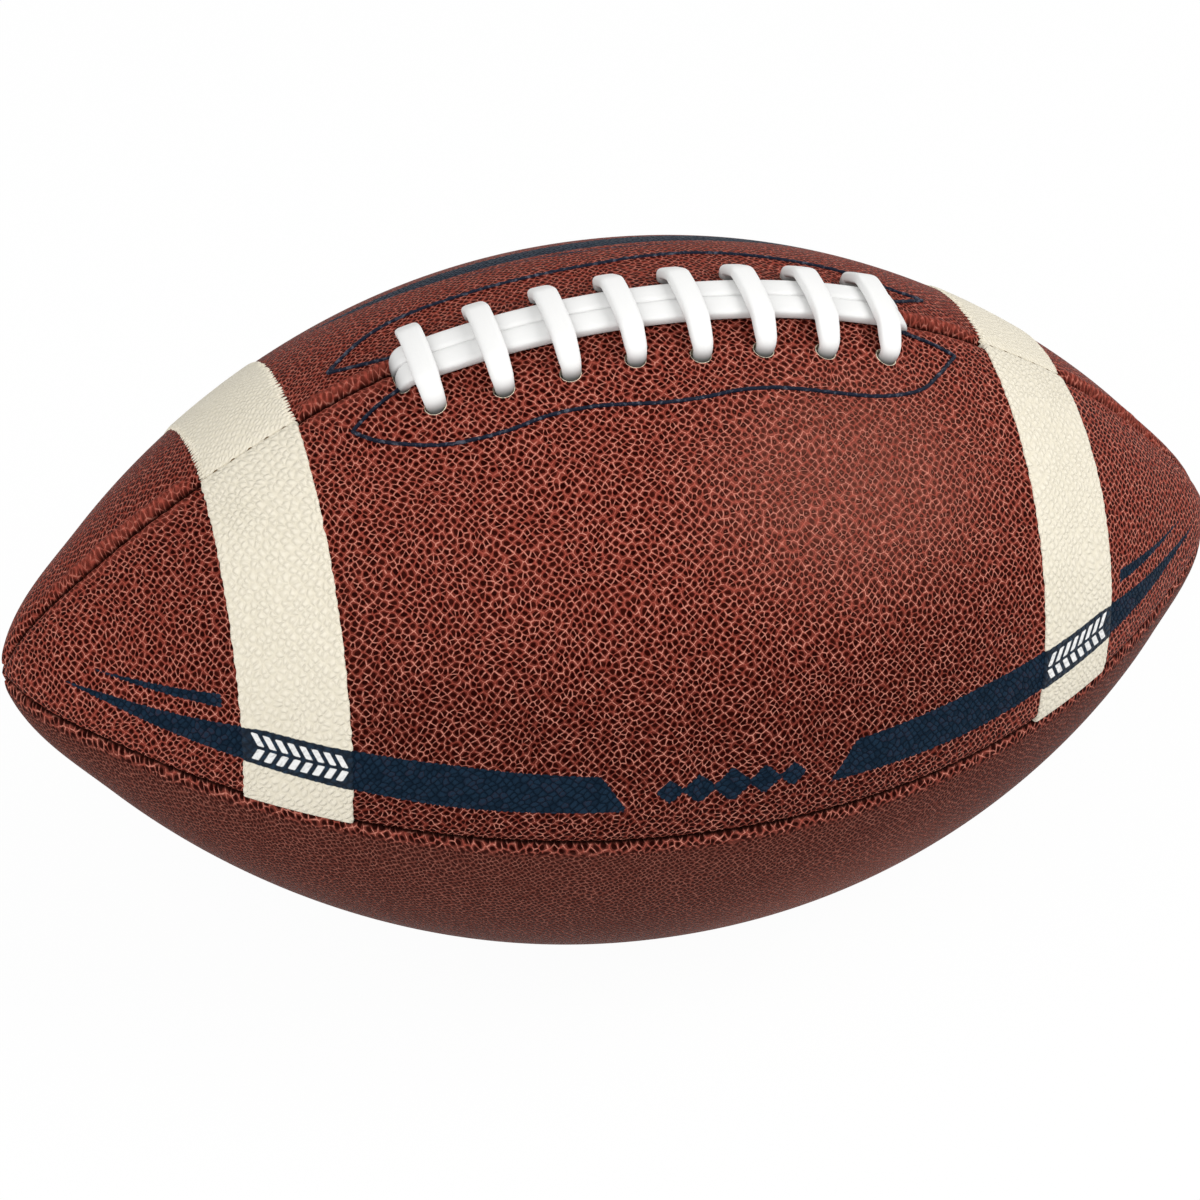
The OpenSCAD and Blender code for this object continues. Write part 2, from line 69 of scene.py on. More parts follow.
def paint(label, description, code):
    """A colour, given as a paint code such as 7a3226."""
    parts = [int(code[k : k + 2], 16) / 255 for k in (0, 2, 4)]
    linear = [p / 12.92 if p <= 0.04045 else ((p + 0.055) / 1.055) ** 2.4 for p in parts]
    return bpy.props.FloatVectorProperty(
        name=label, description=description, default=linear,
        min=0, max=1, size=3, subtype="COLOR",
    )


class BallSizes(bpy.types.PropertyGroup):
    """Outline of the ball and its leather panels."""

    half_len: length("Half length", "From the middle to a nose", 145)
    belly_r: length("Belly radius", "Radius over the panel centres at the middle", 81)
    belly_power: share("Belly power", "Keeps the outline full near the middle", 2.04)
    taper_power: share("Taper power", "Draws the outline in towards the noses", 0.785)
    nose_swell: length("Nose swell", "How much blunter the noses are", 7.6)
    nose_reach: length("Nose reach", "Length of the blunted stretch", 22)
    nose_flat: length("Nose flat", "Length left flat at the very nose", 0.25)
    centre_z: length("Centre height", "Height of the long axis over the floor", 80.635)
    leather_t: length("Leather thickness", "Thickness of the leather", 2.4)
    panel_lift: length("Panel lift", "How much flatter than the ball a panel curves", 1.4)
    shoulder_w: length("Shoulder width", "Width of the rounded shoulder at a seam", 3.4)
    groove_d: length("Groove depth", "Depth of the groove at a seam", 1.9)
    allowance_d: length("Allowance depth", "Depth of the turned-in edge", 4.8)
    laced_edge_d: length("Laced edge depth", "Depth of that edge under the lacing", 4.2)
    allowance_t: length("Allowance thickness", "Thickness of the turned-in edge", 2.2)
    seam_gap: length("Seam gap", "Gap between two sewn panels", 0.15)
    pucker: length("Pucker", "Depth of the puckers that the seam thread pulls", 0.28)
    seam_pitch: length("Seam pitch", "Distance between two seam stitches", 4.3)


class StripeSizes(bpy.types.PropertyGroup):
    """The four stripes."""

    from_nose: length("From nose", "Distance of the outer edge from the nose", 44.4)
    width: length("Width", "Width along the ball", 21.3)
    thickness: length("Thickness", "Height over the leather", 0.45)
    ragged: length("Ragged edge", "How far the edge wanders round the pebbles", 0.14)
    teeth: length("Teeth", "Length of the teeth on a back stripe's edges", 1.6)
    tooth_pitch: length("Tooth pitch", "Distance between two teeth", 1.3)


class LaceSizes(bpy.types.PropertyGroup):
    """The one lace and its holes."""

    width: length("Width", "Width of the lace", 5.2)
    thickness: length("Thickness", "Thickness of the lace", 2.6)
    strand_w: length("Strand width", "Width of a strand, which lies flatter", 5.9)
    squeezed_w: length("Squeezed width", "Width in a hole and inside", 4.5)
    squeezed_t: length("Squeezed thickness", "Thickness in a hole and inside", 2.8)
    crossings: bpy.props.IntProperty(name="Crossings", default=8, min=1)
    pitch: length("Pitch", "Distance between two crossings", 14.58)
    middle: bpy.props.FloatProperty(
        name="Middle", description="Place of the lacing along the ball",
        default=-0.5 * MM, unit="LENGTH", precision=5,
    )
    hole_s: length("Hole distance", "Distance of a hole from the seam", 13.1)
    hole_r: length("Hole radius", "Radius of a lace hole", 2.3)
    end_reach: length("End reach", "Distance of an end slot from the last crossing", 5.2)
    gap: length("Gap", "Free space between a crossing and the strands", 0.1)
    right_more: length("Longer right end", "How much farther the right end reaches", 1.4)
    strand_gap: length("Strand gap", "Free space between the two strands", 0.06)
    seat: length("Seat", "Free space between lace and leather", 0.25)
    bed_lift: length("Bed lift", "How much the tight lace swells the leather under it", 0.8)
    bed_reach: length("Bed reach", "How far that swelling reaches to each side", 10)
    strand_shift: length("Strand shift", "How far the strands lie behind the seam", 1.0)
    tail: length("Tail", "Length of a tucked-in tail", 13)


class StitchSizes(bpy.types.PropertyGroup):
    """Threads that show on the outside."""

    thread: length("Thread", "Thickness of the navy thread", 1.0)
    stitch: length("Stitch", "Length of one navy stitch", 2.9)
    seam_thread: length("Seam thread", "Thickness of the tan thread in the seam", 0.55)


class Colours(bpy.types.PropertyGroup):
    """Colours of the materials."""

    pebble: paint("Pebble", "Leather round a pebble", "66271e")
    pebble_core: paint("Pebble core", "Dark top of a pebble", "1c0100")
    valley: paint("Valley", "Leather between the pebbles", "9c4a3d")
    ridge: paint("Ridge", "Brightest lines between the pebbles", "d08e7c")
    # Colour of the painted highlight, which is painted into the leather where the lamp's highlight
    # falls.
    painted_highlight: paint("Handled leather", "Leather that the hands have polished", "8f5144")
    # Painted shade: the base panels are the same leather as the lace panels, painted darker for the
    # underside.
    base: paint("Base leather", "Pebbles of the base panels", "4c241e")
    base_valley: paint("Base valley", "Between the pebbles of the base panels", "82493d")
    # Painted shade deep in a seam's groove.
    seam_shade: paint("Crease", "Leather deep in a seam", "1c0705")
    navy: paint("Navy", "Printed bands", "0a1521")
    # Painted highlight: the navy print is painted lighter on the pebble tops.
    navy_highlight: paint("Light navy", "Printed bands on the pebble tops", "22384c")
    cream: paint("Cream", "Stripes", "dbd4c3")
    # Painted shade between a stripe's pebbles.
    cream_crevice_shade: paint("Cream shade", "Between the pebbles of a stripe", "c6bea8")
    lace: paint("Lace", "The lace", "dfdfde")
    thread: paint("Thread", "Navy thread", "10182a")
    fleck: paint("Fleck", "Light flecks of the navy thread", "8f93a3")
    tan: paint("Tan thread", "Seam thread", "6e5228")
    raw_edge: paint("Raw edge", "Cut edge of the leather", "e8dcc4")
    lining: paint("Lining", "Fabric lining", "b9b2a2")
    facing: paint("Facing", "Facings and tongue", "3a3f52")
    rubber: paint("Rubber", "Bladder and valve", "2c2c2e")


class Football(bpy.types.PropertyGroup):
    """All settings of the football."""

    ball: bpy.props.PointerProperty(type=BallSizes)
    stripe: bpy.props.PointerProperty(type=StripeSizes)
    lace: bpy.props.PointerProperty(type=LaceSizes)
    stitch: bpy.props.PointerProperty(type=StitchSizes)
    colours: bpy.props.PointerProperty(type=Colours)


# Where the lacing has drawn the seam to the back, how far, and how far beside the seam.
SEAM_X = np.array([-108, -94, -79, -68, -60, -52, -44, -36]) * MM
SEAM_WANDER = np.array([0, 0.6, 1.8, 3.0, 3.5, 2.6, 1.0, 0]) * MM
WANDER_REACH = 13 * MM
# Below this radius the noses are too narrow for the full wander and the full puckers.
NARROW_R = 20 * MM


def clamp(value):
    """A value kept between 0 and 1."""
    return np.clip(value, 0, 1)


def half_lacing(lace):
    """From the middle of the lacing to an end slot."""
    return lace.pitch * (lace.crossings - 1) / 2 + lace.end_reach


class Skin:
    """Outline of the ball and the depth of its panels under it."""

    def __init__(self, settings):
        ball = self.ball = settings.ball
        self.lace = settings.lace
        x = np.linspace(-ball.half_len, ball.half_len, 6001)
        x = x[np.abs(x) <= ball.half_len - ball.nose_flat]
        steps = np.hypot(np.diff(x), np.diff(self.radius(x)))
        along = np.concatenate([[0], np.cumsum(steps)])
        self.table_x, self.table_s = x, along - along[-1] / 2

    def radius(self, x):
        """Radius over the panels' centre lines."""
        b = self.ball
        u = np.abs(x) / b.half_len
        plain = b.belly_r * np.maximum(1 - u**b.belly_power, 0) ** b.taper_power
        t = clamp((b.half_len - np.abs(x)) / b.nose_reach)
        return plain + b.nose_swell * np.sqrt(t) * (1 - t) ** 2

    def normal(self, x):
        """Direction square to the outline: along the ball, and outwards."""
        b = self.ball
        e = np.minimum(b.half_len * 0.0005, (b.half_len - np.abs(x)) / 2)
        m = (self.radius(x + e) - self.radius(x - e)) / (2 * e)
        size = np.sqrt(m * m + 1)
        return -m / size, 1 / size

    def along(self, x):
        """Length of the outline from the middle."""
        return np.interp(x, self.table_x, self.table_s)

    def stations(self, number):
        """Places along the axis that are evenly spaced on the outline."""
        ends = self.table_s[-1]
        return np.interp(np.linspace(-ends, ends, number), self.table_s, self.table_x)

    def bulge(self, r, a):
        """How far a panel lies inside the round outline at an angle from its centre line."""
        return np.minimum(self.ball.panel_lift, r / 4) * (1 - np.cos(a))

    def groove(self, r, distance, keep=1.0):
        """Depth of a seam's rounded groove at a distance from the seam."""
        b = self.ball
        depth = b.groove_d * keep * np.minimum(1, r / (b.shoulder_w * 0.5))
        left = np.clip(b.shoulder_w - distance, 0, None) / b.shoulder_w
        return depth * (1 - np.sqrt(np.maximum(1 - left * left, 0)))

    def bed(self, x, s):
        """Swelling of the leather along the lacing."""
        lace = self.lace
        past = np.abs(x - lace.middle) - half_lacing(lace)
        window = clamp((6 * MM - past) / (8 * MM))
        return lace.bed_lift * window * np.exp(-((s / lace.bed_reach) ** 2))

    def wander(self, x, s):
        """How far the tight lacing has drawn the seam to the back."""
        return np.interp(x, SEAM_X, SEAM_WANDER) * np.exp(-((s / WANDER_REACH) ** 2))

    def place(self, x, a, depth, turn):
        """Point at an angle from a panel's centre line and a depth under the outline."""
        n0, n1 = self.normal(x)
        r = self.radius(x)
        out = r - n1 * depth
        side = turn + a
        side = side - self.wander(x, side * r) / np.maximum(r, NARROW_R)
        lift = self.ball.seam_gap / math.sqrt(2)
        parts = (
            x - n0 * depth,
            -out * np.sin(side) - lift * math.sin(turn),
            out * np.cos(side) + lift * math.cos(turn) + self.ball.centre_z,
        )
        return np.stack(np.broadcast_arrays(*parts), axis=-1)

    def on_lacing(self, x, s, h):
        """Point in lacing coordinates: along the ball, along the skin to the front, and up."""
        r = self.radius(x)
        n0, n1 = self.normal(x)
        h = h + self.bed(x, s)
        out = r - self.bulge(r, HALF - abs(s) / r) + n1 * h
        angle = s / r
        up = out * math.cos(angle) + self.ball.centre_z
        return Vector((x + n0 * h, -out * math.sin(angle), up))


def new_piece(name, bm):
    """A new object at the origin that holds the bmesh."""
    mesh = bpy.data.meshes.new(name)
    bm.to_mesh(mesh)
    bm.free()
    piece = bpy.data.objects.new(name, mesh)
    bpy.context.scene.collection.objects.link(piece)
    return piece


def close_skin(piece):
    """Merges the far columns, closes the ends and points the faces outwards."""
    bm = bmesh.new()
    bm.from_mesh(piece.data)
    bmesh.ops.remove_doubles(bm, verts=bm.verts, dist=1e-7)
    rims = [e for e in bm.edges if e.is_boundary]
    if rims:
        ends = bmesh.ops.holes_fill(bm, edges=rims, sides=0)["faces"]
        bmesh.ops.triangulate(bm, faces=ends)
    bmesh.ops.recalc_face_normals(bm, faces=bm.faces)
    bm.to_mesh(piece.data)
    bm.free()


def wrapped_sheet(name, points, maps):
    """A grid wrapped into a closed skin. The first and last columns meet."""
    rows, columns = points.shape[:2]
    bm = bmesh.new()
    bmesh.ops.create_grid(bm, x_segments=columns - 1, y_segments=rows - 1, size=1)
    piece = new_piece(name, bm)
    mesh = piece.data
    mesh.vertices.foreach_set("co", points.astype(np.float32).ravel())
    corner = np.empty(len(mesh.loops), np.int32)
    mesh.loops.foreach_get("vertex_index", corner)
    for key, grid in maps.items():
        values = grid.reshape(-1, 2)[corner].astype(np.float32)
        mesh.uv_layers.new(name=key).data.foreach_set("uv", values.ravel())
    close_skin(piece)
    return piece


def smooth(piece, angle):
    """Smooth shading with the corners above an angle kept crisp."""
    mesh = piece.data
    mesh.polygons.foreach_set("use_smooth", [True] * len(mesh.polygons))
    mesh.set_sharp_from_angle(angle=math.radians(angle))


def cut(piece, cutter):
    """Cuts a piece with a cutter, which is then removed."""
    faces = len(piece.data.polygons)
    modifier = piece.modifiers.new("holes", "BOOLEAN")
    modifier.operation = "DIFFERENCE"
    modifier.solver = "MANIFOLD"
    modifier.object = cutter
    graph = bpy.context.evaluated_depsgraph_get()
    holed = bpy.data.meshes.new_from_object(piece.evaluated_get(graph))
    if len(holed.polygons) < faces // 2 or len(holed.polygons) == faces:
        raise RuntimeError(f"{piece.name}: the lace holes weren't cut")
    piece.modifiers.clear()
    piece.data = holed
    bpy.data.objects.remove(cutter)


def finish(piece, material, slot, *nodes):
    """Gives a piece its material and its place in the frame."""
    piece.data.materials.clear()
    piece.data.materials.append(material)
    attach(piece, "root")
    if nodes:
        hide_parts(*nodes)


def signs(operation):
    """The two methods behind a sum sign: with the signal first, and with it second."""
    return (
        lambda signal, other: signal.math(operation, signal, other),
        lambda signal, other: signal.math(operation, other, signal),
    )


class Signal:
    """A node's output that Python sums can be written with."""

    def __init__(self, look, socket):
        self.look, self.socket = look, socket

    def math(self, operation, *terms):
        """A math node on the terms, or on the signal itself."""
        sockets = dict(enumerate(terms or (self,)))
        return self.look.add("ShaderNodeMath", sockets, operation=operation)

    __add__, __radd__ = signs("ADD")
    __sub__, __rsub__ = signs("SUBTRACT")
    __mul__, __rmul__ = signs("MULTIPLY")

    def __abs__(self):
        return self.math("ABSOLUTE")

    def ramp(self, low, high, start=0.0, end=1.0):
        """Goes smoothly from start to end while the signal goes from low to high."""
        sockets = {0: self, 1: low, 2: high, 3: start, 4: end}
        return self.look.add("ShaderNodeMapRange", sockets, interpolation_type="SMOOTHSTEP")

    def fade(self, low, high):
        """Goes smoothly from one to zero while the signal goes from low to high."""
        return self.ramp(low, high, 1.0, 0.0)


class Finish:
    """A procedural material, or the light of the surroundings, under construction."""

    def __init__(self, name, world=False):
        self.material = (bpy.data.worlds if world else bpy.data.materials).new(name)
        self.material.use_nodes = True
        self.tree = self.material.node_tree
        self.shader = self.tree.nodes["Background" if world else "Principled BSDF"]

    def connect(self, value, socket):
        """Links a signal to a socket, or sets the socket's value."""
        if isinstance(value, Signal):
            self.tree.links.new(value.socket, socket)
        else:
            socket.default_value = value

    def add(self, kind, sockets=(), output=0, **settings):
        """Any node: its settings first, then its sockets' values or links."""
        node = self.tree.nodes.new(kind)
        for key, value in settings.items():
            setattr(node, key, value)
        for key, value in dict(sockets).items():
            self.connect(value, node.inputs[key])
        return Signal(self, node.outputs[output])

    def place(self):
        """Object coordinates."""
        return self.add("ShaderNodeTexCoord", output=3)

    def map(self, layer):
        """One of the piece's own maps."""
        return self.add("ShaderNodeUVMap", uv_map=layer)

    def part(self, vector, axis):
        """One part of a vector."""
        return self.add("ShaderNodeSeparateXYZ", {0: vector}, output=axis)

    def vector(self, operation, sockets, output=0):
        """Vector maths."""
        return self.add("ShaderNodeVectorMath", sockets, output, operation=operation)

    def mix(self, factor, first, second):
        """Mixes two colours."""
        first, second = (c if isinstance(c, Signal) else (*c, 1.0) for c in (first, second))
        sockets = {0: factor, 6: first, 7: second}
        return self.add("ShaderNodeMix", sockets, output=2, data_type="RGBA")

    def cloud(self, scale, detail=2.0, flat=None, colour=False):
        """Soft noise from 0 to 1, in space or on a flat map, or as a colour for warping."""
        sockets = {"Vector": flat or self.place(), "Scale": scale, "Detail": detail}
        output, dimensions = int(colour), "2D" if flat else "3D"
        return self.add("ShaderNodeTexNoise", sockets, output, noise_dimensions=dimensions)

    def feed(self, values):
        """Feeds signals or values to the shader's inputs."""
        for name, value in values.items():
            self.connect(value, self.shader.inputs[name])

    def done(self, colour, roughness, height, distance, shine=0.5):
        """The finished material, raised by a height map."""
        normal = self.add("ShaderNodeBump", {"Height": height, "Distance": distance})
        self.feed({"Base Color": colour, "Roughness": roughness, "Normal": normal})
        self.feed({"Specular IOR Level": shine})
        return self.material


# The rows of pebbles run askew over a panel, and the pebbles lie partly out of their rows.
ROWS = math.radians(40)
DISORDER = 0.58
# Waves that bend the rows: scale and reach.
PEBBLE_WAVES = ((55, 0.0032), (420, 0.0008))
COARSE = 640.0


def pebbles(look, vector, scale=COARSE):
    """Pebble pattern: distance from the nearest valley, from the middle, and a tone of each."""
    warped = vector
    for waves, reach in PEBBLE_WAVES:
        shift = look.cloud(waves, 1.0, vector, colour=True)
        shift = look.vector("ADD", {0: shift, 1: (-0.5, -0.5, 0)})
        warped = look.vector("ADD", {0: warped, 1: look.vector("SCALE", {0: shift, 3: reach})})
    turning = {"Vector": warped, "Angle": ROWS}
    turned = look.add("ShaderNodeVectorRotate", turning, rotation_type="Z_AXIS")

    def cells(feature, output=0):
        sockets = {"Vector": turned, "Scale": scale, "Randomness": DISORDER}
        return look.add(
            "ShaderNodeTexVoronoi", sockets, output, voronoi_dimensions="2D", feature=feature
        )

    return cells("DISTANCE_TO_EDGE"), cells("F1"), look.part(cells("F1", 1), 0)


def printed_share(look, marks, edge):
    """One inside the print, whose outline follows the pebbles a little."""
    return (look.part(marks, 0) + (0.5 - edge) * 0.0004).fade(0.00005, 0.0003)


# The painted highlight on each panel, lighter and with softer pebbles: along the ball, and from the
# panel's centre line.
HIGHLIGHT_SPOT = (0.0355, -0.0146)
HIGHLIGHT_REACH = (0.060, 0.046)
# Painted shade: a laced panel is painted darker low down in its middle, which lies left of the
# origin. That fades out between these heights, and between these distances along the ball.
SHADE_HEIGHTS, SHADE_REACHES, SHADE_ASIDE = (0.105, 0.145), (0.06, 0.115), 0.015
# The rolled edge beside the lacing seam wrinkles in arcs about this distance from the seam.
ROLL_MIDDLE, WRINKLE_PITCH = 0.0024, 0.0015
LEATHER_RELIEF = 0.0004


def leather_finish(colours, name, top, low, contrast, scale):
    """Pebbled leather: dark pebbles in light valleys, navy print, raw hole edges, a painted
    highlight and painted shade.
    """
    look = Finish(name)
    leather, marks, edges = (look.map(key) for key in ("leather", "marks", "edges"))
    gap, roll = look.part(edges, 0), look.part(edges, 1)
    rim = gap.fade(0.0012, 0.0045)
    edge, middle, tone = pebbles(look, leather, scale)
    is_laced = contrast > 0.8
    if not is_laced:
        # The pebbles are coarser beside the seams.
        coarse_edge, coarse_middle, _ = pebbles(look, leather)
        edge = edge * (1 - rim) + coarse_edge * rim
        middle = middle * (1 - rim) + coarse_middle * rim
    valley = 0.35 * middle.ramp(0.32, 0.5) + 0.65 * edge.fade(0.0, 0.18)
    ridge = edge.fade(0.0, 0.12)
    wide = look.cloud(45, 3.0)
    worn = look.cloud(800).ramp(0.36, 0.66)
    fine = look.cloud(2600)

    # Painted highlight: an oval on each panel where the leather is painted lighter, with softer
    # pebbles.
    from_highlight = look.vector("ADD", {0: leather, 1: (-HIGHLIGHT_SPOT[0], -HIGHLIGHT_SPOT[1], 0)})
    reach = (1 / HIGHLIGHT_REACH[0], 1 / HIGHLIGHT_REACH[1], 0)
    from_highlight = look.vector("MULTIPLY", {0: from_highlight, 1: reach})
    painted_highlight = look.vector("LENGTH", {0: from_highlight}, output=1).fade(0.0, 1.0)
    painted_highlight = painted_highlight * painted_highlight * (3.0 - 2 * painted_highlight) * contrast
    along, height = look.part(look.place(), 0), look.part(look.place(), 2)
    # Painted shade, darker low down in a laced panel's middle.
    deep = height.fade(*SHADE_HEIGHTS) * abs(along + SHADE_ASIDE).fade(*SHADE_REACHES)
    deep = deep * float(is_laced)

    core = (middle + 0.03 * painted_highlight).fade(0.26, 0.46) * edge.ramp(0.02, 0.1)
    bold = (contrast + (1 - contrast) * rim) * (1 - 0.2 * painted_highlight)
    bold_net = bold + 0.3 * painted_highlight
    bold_ridge = bold * bold + 0.3 * painted_highlight
    # The painted highlight lightens the valleys and the body; the painted shade darkens them.
    shown = 0.8 + 0.25 * (wide - 0.5) + 0.2 * painted_highlight - 0.33 * deep
    body = look.mix(painted_highlight * 0.85, top, colours.painted_highlight)
    body = look.mix(deep * 0.65, body, colours.pebble_core)
    body = look.mix(bold * core * (0.8 + 0.2 * tone), body, colours.pebble_core)
    skin = look.mix(bold_net * valley * shown, body, look.mix(rim, low, colours.valley))
    skin = look.mix(bold_ridge * ridge * worn * 0.78, skin, colours.ridge)
    # Painted glints: light specks on some pebble tops inside the painted highlight.
    painted_glint = middle.fade(0.04, 0.16) * tone.ramp(0.5, 0.8) * painted_highlight
    skin = look.mix(painted_glint * 0.25, skin, colours.ridge)

    off = gap - ROLL_MIDDLE
    drift = look.cloud(260, 1.0, leather)
    phase = look.part(leather, 0) + off * off * 160.0 + drift * 0.0012
    wrinkle = 0.5 + 0.5 * (phase * (math.tau / WRINKLE_PITCH)).math("SINE")
    skin = look.mix(roll * 0.6, skin, colours.valley)
    # Painted shade in the troughs of the roll's wrinkles.
    skin = look.mix(roll * wrinkle.ramp(0.4, 0.0) * 0.5, skin, colours.pebble_core)
    # Painted shade: the leather is painted near black deep in a seam's groove.
    skin = look.mix(gap.fade(0.0002, 0.0008) * 0.95, skin, colours.seam_shade)

    printed = printed_share(look, marks, edge)
    # Painted highlight: lighter navy on the pebble tops, more on some pebbles than others.
    ink = look.mix((1 - valley) * (0.2 + 0.4 * tone), colours.navy, colours.navy_highlight)
    rubbed = 1 - 0.12 * (1 - valley) * tone.ramp(0.6, 1.0)
    coloured = look.mix(printed * rubbed, skin, ink)
    raw = look.part(marks, 1).fade(0.0, 0.0002)
    roughness = 0.36 + 0.25 * valley + 0.12 * (fine - 0.5) + 0.1 * raw
    dome = (edge.ramp(0.0, 0.3) * 0.6 + middle.fade(0.1, 0.7) * 0.4) * (bold + painted_highlight)
    relief = dome * (1 - 0.8 * roll) + 0.08 * fine + roll * wrinkle.ramp(0.0, 0.8) * 1.3
    relief = relief * (1 - 0.4 * printed)
    colour = look.mix(raw, coloured, colours.raw_edge)
    return look.done(colour, roughness, relief, LEATHER_RELIEF, shine=0.01)


def stripe_finish(colours, name, scale, depth):
    """Cream stripe: a softer pebble with painted shade between the pebbles, and the printed band
    across it.
    """
    look = Finish(name)
    marks = look.map("marks")
    edge, middle, tone = pebbles(look, look.map("leather"), scale)
    puff = 0.4 * edge.ramp(0.0, 0.3) + 0.6 * middle.fade(0.1, 0.6)
    fine, wide = look.cloud(2600), look.cloud(60)
    # Painted shade between the puffs, with random tone on top.
    low = (1 - puff) * 0.35 + 0.1 * (tone - 0.5) + 0.3 * (wide - 0.5)
    skin = look.mix(low, colours.cream, colours.cream_crevice_shade)
    tick = look.part(marks, 1).fade(0.0, 0.0002)
    # Painted highlight: lighter navy on the puffs, more on some pebbles than others.
    ink = look.mix(puff * (0.2 + 0.4 * tone), colours.navy, colours.navy_highlight)
    colour = look.mix(printed_share(look, marks, edge), skin, look.mix(tick, ink, colours.lace))
    return look.done(colour, 0.5 + 0.1 * (fine - 0.5), puff + 0.05 * fine, depth, shine=0.1)


# How finely the lace's grain runs along it and across it.
LACE_GRAIN = (260, 5200, 1)


def lace_finish(colours):
    """Smooth matte lace with a faint grain along it, with painted shade where it enters a hole."""
    look = Finish("white_lace")
    fine, wide = look.cloud(1500, 3.0), look.cloud(120)
    strip = look.add("ShaderNodeMapping", {0: look.map("strip"), 3: LACE_GRAIN})
    grain = look.cloud(1, flat=strip)
    shade = 0.04 * (wide - 0.5) + 0.05 * (grain - 0.5) + 0.03
    # Painted shade: the lace is painted darker, towards the rubber colour, as it sinks into a hole.
    deep = look.part(look.map("marks"), 0).fade(-0.0008, 0.0018)
    colour = look.mix(deep * 0.8, look.mix(shade, colours.lace, colours.lining), colours.rubber)
    roughness = 0.55 + 0.1 * (fine - 0.5)
    return look.done(colour, roughness, 0.5 * fine + 0.5 * grain, 0.00004, shine=0.15)


def thread_finish(name, colour, light):
    """Twisted thread."""
    look = Finish(name)
    sockets = {"Vector": look.map("strip"), "Scale": 3.0, "Distortion": 0.6}
    twist = look.add(
        "ShaderNodeTexWave", sockets, 1, wave_type="BANDS", bands_direction="DIAGONAL"
    )
    fine = look.cloud(3000)
    fleck = look.cloud(900).ramp(0.52, 0.7)
    colour = look.mix(twist * fleck * 0.6, colour, light)
    return look.done(colour, 0.5 + 0.15 * fine, twist + 0.3 * fine, 0.0001, shine=0.12)


def fabric_finish(name, colour, dark, pitch):
    """Woven cloth: two sets of yarns that pass over and under each other."""
    look = Finish(name)
    place = look.place()
    across = look.part(place, 1) + look.part(place, 2)
    warp, weft = (
        (way * (math.pi / pitch)).math("SINE") for way in (look.part(place, 0), across)
    )
    yarn = (warp * weft).ramp(-0.6, 0.8)
    fine = look.cloud(1800)
    colour = look.mix(yarn * 0.6 + 0.3 * fine, dark, colour)
    return look.done(colour, 0.82 + 0.1 * fine, yarn + 0.2 * fine, 0.00015)


def rubber_finish(name, colour, light, gloss):
    """Moulded rubber with a faint bloom."""
    look = Finish(name)
    bloom, fine = look.cloud(35, 4.0), look.cloud(1400)
    colour = look.mix(bloom.ramp(0.35, 0.8) * 0.25 + 0.05 * fine, colour, light)
    return look.done(colour, gloss + 0.18 * bloom, 0.6 * fine + bloom, 0.00006)


# The print is a plain design in millimetres: along the ball, and along the skin from the
# side seam.
BAND = [(-134, 11.6), (-96, 19.6), (-60, 20.2), (-29, 19.0), (-23, 9.6), (-60, 9.4), (-96, 10.6)]
ACCENT = [(-129, 17.4), (-104, 24.6), (-104, 21.6)]
DIAMONDS = [(-14, 3.2), (-7.4, 3.9), (0, 4.6), (7.4, 3.9), (14, 3.2)]
DIAMOND_W = 14.2
TICKS = [-98.6 + 2.3 * k for k in range(8)]
TICK_ROWS = ((12.0, 14.6), (18.2, 15.6))
# The same from the lacing seam, on the back panel.
TOP_BAR = [(-70, 41), (-40, 45.5), (30, 46.5), (60, 41.5), (30, 37.5), (-40, 37.5)]
TOP_LINE = [(-46, 34), (-10, 35.6), (26, 34), (-10, 34.4)]
# Stands for a distance that is too far to matter.
FAR = 1.0


def polygon_distance(corners, x, w):
    """Distance from a polygon's outline, less than zero inside it."""
    points = np.array(corners) * MM
    nearest = np.full(np.broadcast(x, w).shape, FAR)
    inside = np.zeros(nearest.shape, bool)
    for (ax, aw), (bx, bw) in zip(points, np.roll(points, -1, axis=0)):
        ex, ew = bx - ax, bw - aw
        t = clamp(((x - ax) * ex + (w - aw) * ew) / (ex * ex + ew * ew))
        nearest = np.minimum(nearest, np.hypot(x - ax - t * ex, w - aw - t * ew))
        crosses = (aw > w) != (bw > w)
        reach = ax + (w - aw) * ex / (ew if abs(ew) > 1e-12 else 1e-12)
        inside ^= crosses & (x < reach)
    return np.where(inside, -nearest, nearest)


def nearest_shape(shapes, x, w, both_ends=False):
    """Distance from the nearest of several polygons, or of them at both ends of the ball."""
    if both_ends:
        shapes = shapes + [[(-cx, cw) for cx, cw in corners] for corners in shapes]
    return np.minimum.reduce([polygon_distance(corners, x, w) for corners in shapes])


def side_print(x, w):
    """Distance from the print beside a side seam."""
    diamonds = [
        [(m - half, DIAMOND_W), (m, DIAMOND_W + half), (m + half, DIAMOND_W), (m, DIAMOND_W - half)]
        for m, half in DIAMONDS
    ]
    bands = nearest_shape([BAND, ACCENT], x, w, both_ends=True)
    return np.minimum(bands, nearest_shape(diamonds, x, w))


def ticks(x, w):
    """Distance from the light ticks inside the band, where it crosses a stripe."""
    shapes = [
        [(left, near), (left + 1.1, near), (left + 2.3, far), (left + 1.2, far)]
        for left in TICKS for near, far in TICK_ROWS
    ]
    return nearest_shape(shapes, x, w, both_ends=True)


SHOULDER_STEPS, FACE_STEPS, INSIDE_STEPS, STATIONS = 9, 116, 24, 380
# How far past the end slots the turned-in edge stays flatter for the lacing.
LACED_EDGE_PAST = 6.5 * MM
